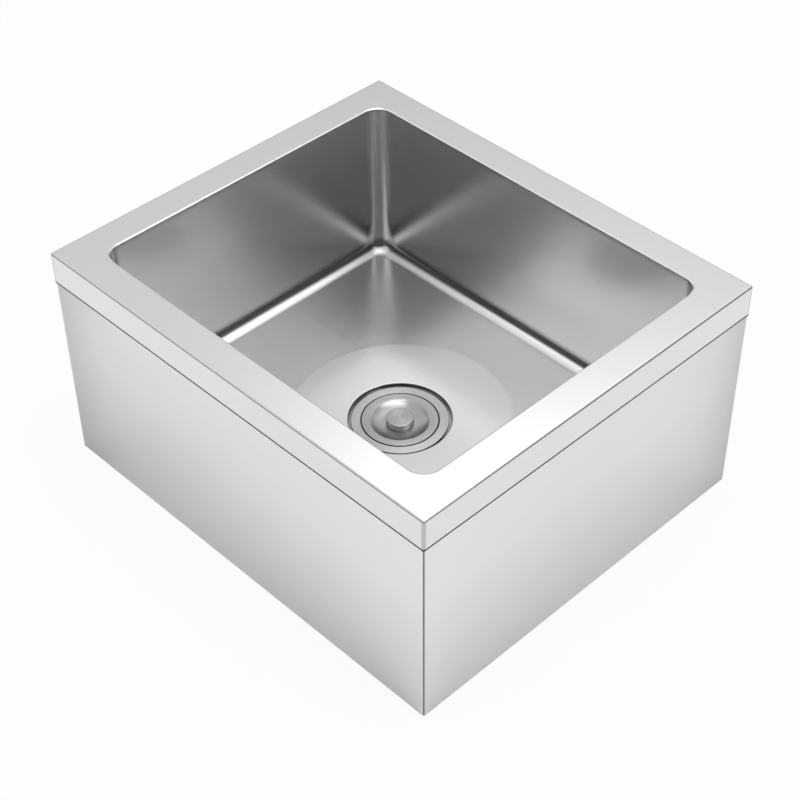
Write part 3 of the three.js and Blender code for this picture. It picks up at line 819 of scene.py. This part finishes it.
def make_stopper():
    """A rubber disc with a cone and a hub on top."""
    low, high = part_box("stopper_seal")
    bore = POST_STEM + LIFT_GAP
    return lathed(
        "stopper",
        [
            (bore, low.z, 0),
            (high.x, low.z, SOFT_EDGE),
            (high.x, low.z + STOPPER_THICKNESS, MOULDED_EDGE),
            (STOPPER_HUB, low.z + STOPPER_THICKNESS + STOPPER_CONE, HUB_FOOT),
            (STOPPER_HUB, high.z, DULLED_EDGE),
            (bore, high.z, 0),
        ],
    )


def make_basket_post():
    """A stem with a collar on the basket's floor and a head to lift it by."""
    low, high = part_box("basket_post")
    floor = basket_low.z + BASKET_SHEET
    stem, head = POST_STEM, high.x
    neck = high.z - POST_HEAD_HEIGHT
    return lathed(
        "post",
        [
            (0, low.z, 0),
            (stem, low.z, DULLED_EDGE),
            (stem, floor + WELD_GAP, 0),
            (head, floor + WELD_GAP, SCRAPED_EDGE),
            (head, floor + POST_COLLAR, SOFT_EDGE),
            (stem, floor + POST_COLLAR, DRAWN_EDGE),
            (stem, neck, FOLDED_EDGE),
            (head, neck, SOFT_EDGE),
            (head, high.z, MOULDED_EDGE),
            (0, high.z, 0),
        ],
        FEW_STEPS,
    )


def make_tailpiece():
    """A plain tube with a flange at the top."""
    low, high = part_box("tailpiece")
    flange_low = high.z - TAIL_FLANGE
    outside = TAIL_BORE + TAIL_WALL
    edge = CUT_EDGE
    return lathed(
        "tail",
        [
            (TAIL_BORE, low.z, edge),
            (outside, low.z, edge),
            (outside, flange_low, DRAWN_EDGE),
            (high.x, flange_low, edge),
            (high.x, high.z, edge),
            (TAIL_BORE, high.z, edge),
        ],
    )


def flat_sided(sides, reach, share):
    """A nut's corners. The first is turned by a share of the angle between two corners."""
    turns = [2 * math.pi * (i + share) / sides for i in range(sides)]
    return [Vector((reach * math.cos(a), reach * math.sin(a))) for a in turns]


def nut(name, outline, bores, ease):
    """A nut with an outline in plan. Its bores are (radius, height) steps from the top down."""
    low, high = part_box(name)
    rings = [[Vector((p.x, p.y, z)) for p in outline] for z in (low.z, high.z)]
    for radius, z in bores:
        rings.append([(p.normalized() * radius).to_3d() + Vector((0, 0, z)) for p in outline])
    return soften(skin(f"{name}_body", rings), ease, NUT_EDGE_STEPS)


def with_steps(corners, steps):
    """An outline whose sides are cut into steps."""
    points = []
    for here, there in zip(corners, corners[1:] + corners[:1]):
        points += [here.lerp(there, step / steps) for step in range(steps)]
    return points


def make_slip_nut():
    """A flat-sided nut with a lip inside that carries the tailpiece's flange."""
    low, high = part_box("slip_nut")
    spigot = OUTLET_RADIUS + SPIGOT_WALL + THREAD_GAP
    neck = TAIL_BORE + TAIL_WALL + THREAD_GAP
    lip_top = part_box("tailpiece")[1].z - TAIL_FLANGE - WELD_GAP
    reach = high.x / math.cos(math.pi / SLIP_NUT_FLATS)
    corners = flat_sided(SLIP_NUT_FLATS, reach, 0.5)
    bores = [(spigot, high.z), (spigot, lip_top), (neck, lip_top), (neck, low.z)]
    return nut("slip_nut", with_steps(corners, SLIP_NUT_STEPS), bores, SOFT_EDGE)


def make_lock_nut():
    """A ring nut with lugs for the wrench."""
    low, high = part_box("lock_nut")
    bore = CUP_RADIUS + SHEET + THREAD_GAP
    rim = high.x - LUG_LENGTH
    half_lug = math.asin(LUG_WIDTH / 2 / rim)
    pitch = 2 * math.pi / LUGS
    outline = []
    for i in range(LUGS):
        along = Vector((math.cos(i * pitch), math.sin(i * pitch)))
        across = Vector((-along.y, along.x)) * LUG_WIDTH / 2
        outline += [along * high.x - across, along * high.x, along * high.x + across]
        for step in range(LUG_STEPS + 1):
            turn = i * pitch + half_lug + (pitch - 2 * half_lug) * step / LUG_STEPS
            outline.append(Vector((rim * math.cos(turn), rim * math.sin(turn))))
    return nut("lock_nut", outline, [(bore, high.z), (bore, low.z)], LUG_EDGE)


def make_post_nut():
    """A hexagonal nut below the stopper."""
    low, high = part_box("post_nut")
    bore = POST_STEM + LIFT_GAP
    outline = with_steps(flat_sided(POST_NUT_FLATS, high.x, 0), POST_NUT_STEPS)
    return nut("post_nut", outline, [(bore, high.z), (bore, low.z)], CUT_EDGE)


def flat_ring(node, inner, ease=SCRAPED_EDGE):
    """A washer or a seal, with its bore's radius given."""
    low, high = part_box(node)
    corners = ((inner, low.z), (high.x, low.z), (high.x, high.z), (inner, high.z))
    return lathed(f"{node}_turned", [(across, up, ease) for across, up in corners])


# ------------------------------------------------------------------ materials


def new_material(name, color, roughness, metallic=0.0):
    material = bpy.data.materials.new(name)
    material.use_nodes = True
    shader = material.node_tree.nodes["Principled BSDF"]
    shader.inputs["Base Color"].default_value = (*color, 1)
    shader.inputs["Roughness"].default_value = roughness
    shader.inputs["Metallic"].default_value = metallic
    return material, material.node_tree, shader


def new_group(name, inputs, outputs):
    group = bpy.data.node_groups.new(name, "ShaderNodeTree")
    for label, kind, value in inputs:
        socket = group.interface.new_socket(label, in_out="INPUT", socket_type=kind)
        if value is not None:
            socket.default_value = value
    for label, kind in outputs:
        group.interface.new_socket(label, in_out="OUTPUT", socket_type=kind)
    entry = group.nodes.new("NodeGroupInput")
    leave = group.nodes.new("NodeGroupOutput")
    return group, entry, leave


FLOAT, VECTOR = "NodeSocketFloat", "NodeSocketVector"


def grain_group():
    """Fine parallel lines from a belt: they vary quickly across the grain and slowly along it."""
    inputs = [("Across", FLOAT, 0), ("Along", FLOAT, 0), ("Lines", FLOAT, 1500), ("Length", FLOAT, 40)]
    group, entry, leave = new_group("belt_grain", inputs, [("Streak", FLOAT), ("Height", FLOAT)])
    lines = entry.outputs["Lines"]
    along = product(group, entry.outputs["Along"], entry.outputs["Length"])
    layers = []
    for share, detail in ((1, 3), (0.21, 2)):
        across = product(group, entry.outputs["Across"], product(group, lines, share))
        place = add(group, "ShaderNodeCombineXYZ", {"X": across, "Y": along}).outputs[0]
        noise = add(group, "ShaderNodeTexNoise", {"Vector": place, "Scale": 1.0, "Detail": detail})
        layers.append(noise.outputs["Fac"])
    mean = product(group, total(group, *layers), 0.5)
    group.links.new(span(group, mean, 0.35, 0.65, 0, 1), leave.inputs["Streak"])
    group.links.new(mean, leave.inputs["Height"])
    return group


def cloud_group():
    """Large soft marks, as handling and wiping leave."""
    inputs = [("Vector", VECTOR, None), ("Scale", FLOAT, 6)]
    group, entry, leave = new_group("soft_marks", inputs, [("Cloud", FLOAT)])
    place, scale = entry.outputs["Vector"], entry.outputs["Scale"]
    settings = {"Vector": place, "Scale": scale, "Detail": 3.0, "Roughness": 0.55}
    noise = add(group, "ShaderNodeTexNoise", settings)
    group.links.new(span(group, noise.outputs["Fac"], 0.3, 0.7, 0, 1), leave.inputs["Cloud"])
    return group


GRAIN = grain_group()
CLOUD = cloud_group()


def object_place(tree):
    """Where a point is on its piece, whole and as X, Y and Z."""
    place = add(tree, "ShaderNodeTexCoord").outputs["Object"]
    parts = add(tree, "ShaderNodeSeparateXYZ", {0: place})
    return place, parts.outputs["X"], parts.outputs["Y"], parts.outputs["Z"]


def bump(tree, shader, height, strength, distance):
    node = add(tree, "ShaderNodeBump", {"Height": height, "Strength": strength, "Distance": distance})
    tree.links.new(node.outputs["Normal"], shader.inputs["Normal"])


# How much light each finish gives back, where 1 is all of it. Past the bowl's own level, each is
# the level of a painted highlight, sheen, shade or shadow
SHEET_LEVEL = 0.82
BOWL_LEVEL = 0.66
DISH_SHEEN_LEVEL = 0.72
FILLET_HIGHLIGHT_LEVEL = 0.97
BEVEL_HIGHLIGHT_LEVEL = 1
LOW_SHADE_LEVEL = 0.4
PAINTED_SHADE_LEVEL = 0.3
SEAM_SHADE_LEVEL = 0.25
HEM_SHADOW_LEVEL = 0.02
JOINT_SHADOW_LEVEL = 0.03

# How the finishes vary
BELT_LINES, BELT_LENGTH = 1500.0, 9.0
RING_LINES, RING_LENGTH = 2600.0, 0.5
GRAIN_DEPTH = 0.02 * MM
BELT_RELIEF = 0.05
RING_RELIEF = 0.08
HANDLING_SCALE = 5.0
HANDLING_SPREAD = 0.015
RING_SPREAD = 0.06
RING_ROUGHNESS = 0.03
# Roughness of the fillet's band that carries the painted highlight
FILLET_BAND_ROUGHNESS = 0.42
MILL_COLORS = (0.48, 0.49, 0.5), (0.6, 0.61, 0.62)
MILL_ROUGHNESS = (0.4, 0.55)
MILL_MARKS = 40.0
MILL_RELIEF = 0.2
MILL_SCALE_DEPTH = 0.05 * MM
SKIN_LINES = 3000.0
SKIN_RELIEF = 0.3
SKIN_SPREAD = 0.06
# The painted shade's share at the skirt corners, and the painted shade low on the casing: its share and
# the height where it fades out
CORNER_SHADE_SHARE = 0.55
LOW_SHADE_SHARE = 0.3
LOW_SHADE_HEIGHT = 170 * MM
FACES_AN_END = 0.7

# Marks on the steel, in millimetres: where each starts and where it is whole. A band has four: it
# starts, is whole, is still whole and ends.
# Apart from the rim's outside, each of these marks a painted highlight, sheen, shade or shadow
RIM_OUTSIDE = (-4, -3)
FOLD_SHADE_MARKS = (-2.2, -1.6, -0.6, -0.15)
CORNER_SHADE_MARKS = (-4, -2.25)
HEM_SHADOW_MARKS = (2.6, 2.2)
BEVEL_HIGHLIGHT_MARKS = (-0.04, -0.2)
SEAM_SHADE_MARKS = (-1.7, -1.1)
FILLET_HIGHLIGHT_MARKS = (0, 0.9, 3.4, 6)
WALL_SHADE_MARKS = (4, 7, 11, 20)
DISH_SHEEN_MARKS = (3, -3)
RECESS_SHADE_MARKS = (1.2, 0.8)
JOINT_SHADOW_MARKS = (1, 0.6)


def mask(tree, value, zero, marks):
    """A mask that is none at the first mark and whole at the second, or a band of four marks."""
    places = [zero + mark * MM for mark in marks]
    rising = span(tree, value, places[0], places[1], 0, 1)
    if len(places) == 2:
        return rising
    return product(tree, rising, span(tree, value, places[3], places[2], 0, 1))


def marked(tree, shader, shade, marks):
    """Gives a shader its colour, with each mark's mask and level laid over those before it."""
    for share, level in marks:
        shade = mix_color(tree, share, shade, grey(level))
    tree.links.new(shade, shader.inputs["Base Color"])


def beyond(tree, x, y, half_x, half_y):
    """How far a point is beyond the sides of a box, along X and along Y."""
    out_x = math_node(tree, "SUBTRACT", math_node(tree, "ABSOLUTE", x), half_x)
    out_y = math_node(tree, "SUBTRACT", math_node(tree, "ABSOLUTE", y), half_y)
    return out_x, out_y


def from_axis(tree, x, y):
    """How far a point is from the drain's axis."""
    return math_node(tree, "SQRT", total(tree, product(tree, x, x), product(tree, y, y)))


def sheet_steel(name, level, roughness, spread):
    """Belt-brushed sheet: the grain runs along the longer side, on every face of the fold.

    Returns the material, its tree, its shader, and the outputs with its colour and its roughness.
    """
    material, tree, shader = new_material(name, (level, level, level), roughness, 1.0)
    place, x, y, z = object_place(tree)
    normal = add(tree, "ShaderNodeNewGeometry").outputs["Normal"]
    faced = add(tree, "ShaderNodeSeparateXYZ", {0: normal})
    sideways = math_node(tree, "ABSOLUTE", faced.outputs["X"])
    on_end = math_node(tree, "GREATER_THAN", sideways, FACES_AN_END)
    across = total(tree, z, product(tree, y, left_by(tree, on_end)))
    along = total(tree, x, product(tree, y, on_end))
    belt = {"Across": across, "Along": along, "Lines": BELT_LINES, "Length": BELT_LENGTH}
    grain = use_group(tree, GRAIN, belt)
    cloud = use_group(tree, CLOUD, {"Vector": place, "Scale": HANDLING_SCALE})
    streak, handled = grain.outputs["Streak"], cloud.outputs["Cloud"]
    shade = mix_color(tree, streak, grey(level - spread), grey(level + spread))
    tree.links.new(shade, shader.inputs["Base Color"])
    fine = span(tree, streak, 0, 1, roughness - spread, roughness + spread)
    rough = total(tree, fine, span(tree, handled, 0, 1, -HANDLING_SPREAD, HANDLING_SPREAD))
    tree.links.new(rough, shader.inputs["Roughness"])
    bump(tree, shader, grain.outputs["Height"], BELT_RELIEF, GRAIN_DEPTH)
    return material, tree, shader, shade, rough


def deck_steel():
    """Brushed sheet. Painted: a highlight on the bevel, shade on the outer fold and skirt corners, a
    shadow line at the hem.
    """
    material, tree, shader, shade, _ = sheet_steel(
        "brushed_deck_steel", level=SHEET_LEVEL, roughness=0.25, spread=0.01
    )
    _, x, y, z = object_place(tree)
    out_x, out_y = beyond(tree, x, y, deck_high.x, deck_high.y)
    outside = mask(tree, math_node(tree, "MAXIMUM", out_x, out_y), 0, RIM_OUTSIDE)
    # The bevel is painted near white: a painted highlight
    bevel = product(tree, mask(tree, z, deck_high.z, BEVEL_HIGHLIGHT_MARKS), left_by(tree, outside))
    # A darker band along the outer fold is painted shade
    fold = product(tree, mask(tree, z, deck_high.z, FOLD_SHADE_MARKS), outside)
    # A darker band down the skirt's corners is painted shade
    corner = product(tree, mask(tree, total(tree, out_x, out_y), 0, CORNER_SHADE_MARKS), CORNER_SHADE_SHARE)
    # A near-black line at the foot of the skirt is a painted shadow
    hem = mask(tree, z, deck_low.z, HEM_SHADOW_MARKS)
    marks = ((bevel, BEVEL_HIGHLIGHT_LEVEL), (fold, PAINTED_SHADE_LEVEL), (corner, PAINTED_SHADE_LEVEL), (hem, HEM_SHADOW_LEVEL))
    marked(tree, shader, shade, marks)
    return material


def casing_steel():
    """Brushed sheet, with painted shade in the seams between panels and painted shade darkening it
    towards the bottom.
    """
    material, tree, shader, shade, _ = sheet_steel(
        "brushed_casing_steel", level=SHEET_LEVEL, roughness=0.3, spread=0.008
    )
    _, x, y, z = object_place(tree)
    # Painted shade: the sheet grows darker towards the bottom
    painted_low_shade = span(tree, z, 0, LOW_SHADE_HEIGHT, LOW_SHADE_SHARE, 0)
    # The panel ends beside the mitre gap are painted darker: painted shade
    half_x, half_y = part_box("casing_right")[1].x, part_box("casing_back")[1].y
    seam = mask(tree, total(tree, *beyond(tree, x, y, half_x, half_y)), 0, SEAM_SHADE_MARKS)
    marked(tree, shader, shade, ((painted_low_shade, LOW_SHADE_LEVEL), (seam, SEAM_SHADE_LEVEL)))
    return material


def bowl_steel():
    """Satin sheet, drawn to shape.

    It has a painted highlight in the roll at the floor, painted shade on the wall above it, a painted
    sheen in the pressed dish and painted shade inside the recess.
    """
    material, tree, shader, shade, rough = sheet_steel(
        "satin_bowl_steel", level=BOWL_LEVEL, roughness=0.24, spread=0.012
    )
    _, x, y, z = object_place(tree)
    above_floor = math_node(tree, "SUBTRACT", z, floor_at_wall)
    radius = from_axis(tree, x, y)
    # A band round the floor's fillet is painted near white: a painted highlight
    painted_fillet_highlight = mask(tree, above_floor, 0, FILLET_HIGHLIGHT_MARKS)
    # The wall just above that band is painted darker: painted shade
    drawn = mask(tree, above_floor, 0, WALL_SHADE_MARKS)
    # The dish is painted lighter than the floor round it: a painted sheen
    dished = mask(tree, radius, DISH_RADIUS, DISH_SHEEN_MARKS)
    # The recess's wall is painted dark: painted shade
    inside = mask(tree, radius, RECESS_RADIUS, RECESS_SHADE_MARKS)
    marks = ((painted_fillet_highlight, FILLET_HIGHLIGHT_LEVEL), (drawn, PAINTED_SHADE_LEVEL), (dished, DISH_SHEEN_LEVEL))
    marked(tree, shader, shade, (*marks, (inside, PAINTED_SHADE_LEVEL)))
    kept = product(tree, rough, left_by(tree, painted_fillet_highlight))
    rough = total(tree, kept, product(tree, painted_fillet_highlight, FILLET_BAND_ROUGHNESS))
    tree.links.new(rough, shader.inputs["Roughness"])
    return material


def turned_steel(name, level, roughness, anisotropic):
    """Steel turned on a lathe: fine rings about the drain's axis, and a painted shadow in the gap round
    the cover.
    """
    material, tree, shader = new_material(name, (level, level, level), roughness, 1.0)
    _, x, y, z = object_place(tree)
    turn = math_node(tree, "ARCTAN2", y, x)
    radius = from_axis(tree, x, y)
    across = total(tree, radius, z)
    rings = {"Across": across, "Along": turn, "Lines": RING_LINES, "Length": RING_LENGTH}
    grain = use_group(tree, GRAIN, rings)
    streak = grain.outputs["Streak"]
    shade = mix_color(tree, streak, grey(level - RING_SPREAD), grey(level + RING_SPREAD))
    # A painted shadow darkens the gap between the cover and the strainer's mouth
    beside = math_node(tree, "SUBTRACT", radius, (MOUTH_RADIUS + cover_high.x) / 2)
    joint = mask(tree, math_node(tree, "ABSOLUTE", beside), 0, JOINT_SHADOW_MARKS)
    marked(tree, shader, shade, ((joint, JOINT_SHADOW_LEVEL),))
    rough = span(tree, streak, 0, 1, roughness - RING_ROUGHNESS, roughness + RING_ROUGHNESS)
    tree.links.new(rough, shader.inputs["Roughness"])
    shader.inputs["Anisotropic"].default_value = anisotropic
    shader.inputs["Anisotropic Rotation"].default_value = 0.25
    tangent = add(tree, "ShaderNodeTangent", direction_type="RADIAL", axis="Z")
    tree.links.new(tangent.outputs[0], shader.inputs["Tangent"])
    bump(tree, shader, grain.outputs["Height"], RING_RELIEF, GRAIN_DEPTH)
    return material


def mill_steel():
    """Hot-rolled bracket steel: duller, with cloudy marks and no belt grain."""
    material, tree, shader = new_material("mill_steel", MILL_COLORS[0], 0.45, 1.0)
    place = object_place(tree)[0]
    cloud = use_group(tree, CLOUD, {"Vector": place, "Scale": MILL_MARKS}).outputs["Cloud"]
    dark, light = MILL_COLORS
    tree.links.new(mix_color(tree, cloud, (*dark, 1), (*light, 1)), shader.inputs["Base Color"])
    tree.links.new(span(tree, cloud, 0, 1, *MILL_ROUGHNESS), shader.inputs["Roughness"])
    bump(tree, shader, cloud, MILL_RELIEF, MILL_SCALE_DEPTH)
    return material


def soft_material(name, dark, light, roughness, scale, depth):
    """Rubber, pad, plastic or fibre: a mottled colour and a fine skin, its depth in millimetres."""
    material, tree, shader = new_material(name, dark, roughness)
    place = object_place(tree)[0]
    cloud = use_group(tree, CLOUD, {"Vector": place, "Scale": scale}).outputs["Cloud"]
    tree.links.new(mix_color(tree, cloud, (*dark, 1), (*light, 1)), shader.inputs["Base Color"])
    rough = span(tree, cloud, 0, 1, roughness - SKIN_SPREAD, roughness + SKIN_SPREAD)
    tree.links.new(rough, shader.inputs["Roughness"])
    grain = add(tree, "ShaderNodeTexNoise", {"Vector": place, "Scale": SKIN_LINES, "Detail": 2.0})
    bump(tree, shader, grain.outputs["Fac"], SKIN_RELIEF, depth * MM)
    return material


RUBBER_COLORS = (0.014, 0.014, 0.015), (0.028, 0.028, 0.03)
BUTYL_COLORS = (0.08, 0.08, 0.088), (0.12, 0.12, 0.13)
PLASTIC_COLORS = (0.74, 0.74, 0.7), (0.8, 0.8, 0.77)
FIBRE_COLORS = (0.26, 0.18, 0.11), (0.38, 0.28, 0.18)

# Each finish is its slot and its material
DECK_STEEL = "brushed_steel", deck_steel()
CASING_STEEL = "brushed_steel", casing_steel()
BOWL_STEEL = "bowl_steel", bowl_steel()
FLANGE_STEEL = "turned_steel", turned_steel(
    "turned_flange_steel", level=0.56, roughness=0.3, anisotropic=0.8
)
COVER_STEEL = "turned_steel", turned_steel(
    "turned_cover_steel", level=0.46, roughness=0.3, anisotropic=0.7
)
BASKET_STEEL = "turned_steel", turned_steel(
    "polished_basket_steel", level=0.7, roughness=0.2, anisotropic=0.4
)
MILL_STEEL = "mill_steel", mill_steel()
BLACK_RUBBER = "black_rubber", soft_material(
    "black_rubber", *RUBBER_COLORS, roughness=0.6, scale=60.0, depth=0.02
)
GREY_BUTYL = "grey_butyl", soft_material(
    "grey_butyl", *BUTYL_COLORS, roughness=0.75, scale=30.0, depth=0.05
)
WHITE_PLASTIC = "white_plastic", soft_material(
    "white_plastic", *PLASTIC_COLORS, roughness=0.42, scale=30.0, depth=0.01
)
FIBRE = "fibre", soft_material(
    "pressed_fibre", *FIBRE_COLORS, roughness=0.8, scale=120.0, depth=0.03
)

# ------------------------------------------------------------------ placing pieces


def stand_for(piece, node, body, finish):
    """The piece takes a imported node's place, rides on its body and gets its finish."""
    slot, material = finish
    piece.data.materials.clear()
    piece.data.materials.append(material)
    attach(piece, body)
    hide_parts(node)


def place_sheet_metal():
    stand_for(make_deck(), "rim_deck", "root", DECK_STEEL)
    stand_for(make_bowl(), "bowl", "root", BOWL_STEEL)
    turns = {"front": 0, "right": math.pi / 2, "back": math.pi, "left": -math.pi / 2}
    for side, turn in turns.items():
        stand_for(casing_panel(side, turn), f"casing_{side}", "root", CASING_STEEL)


def place_inside_pieces():
    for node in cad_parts:
        if node.startswith(("corner_post", "support_rail")):
            stand_for(softened_copy(node, CUT_EDGE), node, "root", MILL_STEEL)
        elif node.startswith("rail_pad"):
            stand_for(softened_copy(node, CUT_EDGE), node, "root", BLACK_RUBBER)
        elif node.startswith("sound_pad"):
            stand_for(softened_copy(node, SOFT_EDGE), node, "root", GREY_BUTYL)


def place_drain():
    seal_bore = MOUTH_RADIUS + SHEET + THREAD_GAP
    stand_for(make_strainer(), "strainer_body", "root", FLANGE_STEEL)
    stand_for(flat_ring("flange_gasket", seal_bore), "flange_gasket", "root", BLACK_RUBBER)
    stand_for(flat_ring("under_gasket", seal_bore, SOFT_EDGE), "under_gasket", "root", BLACK_RUBBER)
    stand_for(flat_ring("friction_washer", seal_bore), "friction_washer", "root", FIBRE)
    stand_for(make_lock_nut(), "lock_nut", "root", WHITE_PLASTIC)
    stand_for(flat_ring("tail_washer", TAIL_BORE), "tail_washer", "root", BLACK_RUBBER)
    stand_for(make_tailpiece(), "tailpiece", "root", WHITE_PLASTIC)
    stand_for(make_slip_nut(), "slip_nut", "root", WHITE_PLASTIC)


def place_basket():
    stand_for(make_basket(), "basket", "basket", BASKET_STEEL)
    stand_for(make_stopper(), "stopper_seal", "basket", BLACK_RUBBER)
    stand_for(make_basket_post(), "basket_post", "basket", BASKET_STEEL)
    stand_for(make_post_nut(), "post_nut", "basket", BASKET_STEEL)


def place_cover():
    stand_for(make_cover(), "cover_plate", "cover", COVER_STEEL)
    stand_for(make_knob(), "cover_knob", "cover", COVER_STEEL)
    stand_for(flat_ring("knob_washer", SCREW_BORE), "knob_washer", "cover", BLACK_RUBBER)
    stand_for(make_knob_screw(), "knob_screw", "cover", COVER_STEEL)


place_sheet_metal()
place_inside_pieces()
place_drain()
place_basket()
place_cover()

# ------------------------------------------------------------------ floor, light and camera

# The backdrop's glow, where 1 is white, and its edges in degrees of elevation
HORIZON_GLOW = 1.1
BAND_GLOW = 0.03
CEILING_GLOW = 0.76
HORIZON_EDGE = (8, 18)
CEILING_EDGE = 33.2
CEILING_BLUR = 1.5
CEILING_LEAN = 6.4
FLOOR_HALF = 30
FLOOR_COLOR = 0.9
FLOOR_SEEN_WHITE = 0.75
FLOOR_MIRRORED_WHITE = 0.15

# Each softbox has a heading, an elevation, a width, a height and a glow
LIT_HEIGHT = 0.29
SOFTBOX_DISTANCE = 5.0
SOFTBOXES = {
    "overhead_softbox": (37, 69, 2.5, 2.6, 2.2),
    "zenith_softbox": (135, 86, 1.5, 1.5, 3.2),
    "right_softbox": (15, 37, 2.2, 1.6, 2.3),
    "left_softbox": (-109, 30, 6.6, 3.1, 1.05),
    "back_softbox": (124, 52, 2.1, 1.4, 0.93),
}


def heading(degrees, elevation, distance, centre):
    """A point seen from the centre at a heading from +X and an elevation above the floor."""
    turn, rise = math.radians(degrees), math.radians(elevation)
    flat = math.cos(rise) * distance
    return centre + Vector((flat * math.cos(turn), flat * math.sin(turn), math.sin(rise) * distance))


def softbox(name, place, target, width, tall, glow):
    """A soft lamp that faces its target. Glow is how bright its face looks."""
    lamp = bpy.data.lights.new(name, "AREA")
    lamp.shape = "RECTANGLE"
    lamp.size, lamp.size_y = width, tall
    lamp.energy = glow * width * tall * math.pi
    owner = bpy.data.objects.new(name, lamp)
    owner.location = place
    owner.rotation_euler = (target - place).to_track_quat("-Z", "Y").to_euler()
    owner.visible_camera = False
    bpy.context.scene.collection.objects.link(owner)


def studio_floor():
    """A pale floor that keeps the shadow. It looks whiter straight to the camera than as a light."""
    corners = [(x * FLOOR_HALF, y * FLOOR_HALF, 0) for x, y in ((-1, -1), (1, -1), (1, 1), (-1, 1))]
    mesh = bpy.data.meshes.new("studio_floor")
    mesh.from_pydata(corners, [], [(0, 1, 2, 3)])
    floor = bpy.data.objects.new("studio_floor", mesh)
    bpy.context.scene.collection.objects.link(floor)
    material = bpy.data.materials.new("studio_white")
    material.use_nodes = True
    tree = material.node_tree
    tree.nodes.clear()
    paper = add(tree, "ShaderNodeBsdfDiffuse", {"Color": grey(FLOOR_COLOR)})
    white = add(tree, "ShaderNodeEmission", {"Color": grey(1), "Strength": 1.0})
    path = add(tree, "ShaderNodeLightPath")
    seen = math_node(tree, "MAXIMUM", path.outputs["Is Camera Ray"], path.outputs["Is Glossy Ray"])
    seen = math_node(tree, "MAXIMUM", seen, path.outputs["Is Transmission Ray"])
    straight = product(tree, path.outputs["Is Camera Ray"], FLOOR_SEEN_WHITE)
    share = total(tree, product(tree, seen, FLOOR_MIRRORED_WHITE), straight)
    blend = add(tree, "ShaderNodeMixShader", {0: share, 1: paper.outputs[0], 2: white.outputs[0]})
    leave = add(tree, "ShaderNodeOutputMaterial")
    tree.links.new(blend.outputs[0], leave.inputs["Surface"])
    mesh.materials.append(material)


def studio_world():
    """A pale horizon, a dark band above it and a bright ceiling that leans towards the back."""
    world = bpy.data.worlds.new("studio_world")
    bpy.context.scene.world = world
    world.use_nodes = True
    tree = world.node_tree
    tree.nodes.clear()
    place = add(tree, "ShaderNodeTexCoord").outputs["Generated"]
    up = add(tree, "ShaderNodeSeparateXYZ", {0: place}).outputs["Z"]

    def rise(degrees):
        return math.sin(math.radians(degrees))

    band_foot, band_whole = HORIZON_EDGE
    horizon = span(tree, up, rise(band_foot), rise(band_whole), HORIZON_GLOW, BAND_GLOW)
    lean = heading(135, 90 - CEILING_LEAN, 1.0, Vector())
    leaning = add(tree, "ShaderNodeVectorMath", {0: place, 1: lean}, operation="DOT_PRODUCT")
    below, above = rise(CEILING_EDGE - CEILING_BLUR), rise(CEILING_EDGE + CEILING_BLUR)
    ceiling = span(tree, leaning.outputs["Value"], below, above, 0, CEILING_GLOW - BAND_GLOW)
    level = total(tree, horizon, ceiling)
    sky = add(tree, "ShaderNodeBackground", {"Color": level, "Strength": 1.0})
    leave = add(tree, "ShaderNodeOutputWorld")
    tree.links.new(sky.outputs[0], leave.inputs["Surface"])


def camera():
    """The photograph's view, worked out from the corners of the box."""
    azimuth, elevation, roll = math.radians(44.764), math.radians(41.799), math.radians(0.213)
    distance = 2049.49 * MM
    focal_pixels = 1827.12
    image_pixels = 800
    middle = (432, 392)
    target = Vector((52.454, -0.218, 145)) * MM
    flat = math.cos(elevation)
    back = Vector((math.sin(azimuth) * flat, -math.cos(azimuth) * flat, math.sin(elevation)))
    right = Vector((math.cos(azimuth), math.sin(azimuth), 0))
    up = back.cross(right)
    rolled_right = right * math.cos(roll) + up * math.sin(roll)
    rolled_up = up * math.cos(roll) - right * math.sin(roll)
    lens = bpy.data.cameras.new("camera")
    lens.sensor_width = 36
    lens.lens = focal_pixels / image_pixels * lens.sensor_width
    lens.shift_x = (image_pixels / 2 - middle[0]) / image_pixels
    lens.shift_y = (middle[1] - image_pixels / 2) / image_pixels
    owner = bpy.data.objects.new("camera", lens)
    pose = Matrix((rolled_right, rolled_up, back)).transposed().to_4x4()
    pose.translation = target + back * distance
    owner.matrix_world = pose
    bpy.context.scene.collection.objects.link(owner)
    bpy.context.scene.camera = owner


studio_floor()
studio_world()
lit_point = Vector((0, 0, LIT_HEIGHT))
for name, (degrees, elevation, width, tall, glow) in SOFTBOXES.items():
    place = heading(degrees, elevation, SOFTBOX_DISTANCE, lit_point)
    softbox(name, place, lit_point, width, tall, glow)
camera()

bpy.context.scene.view_settings.view_transform = "Standard"
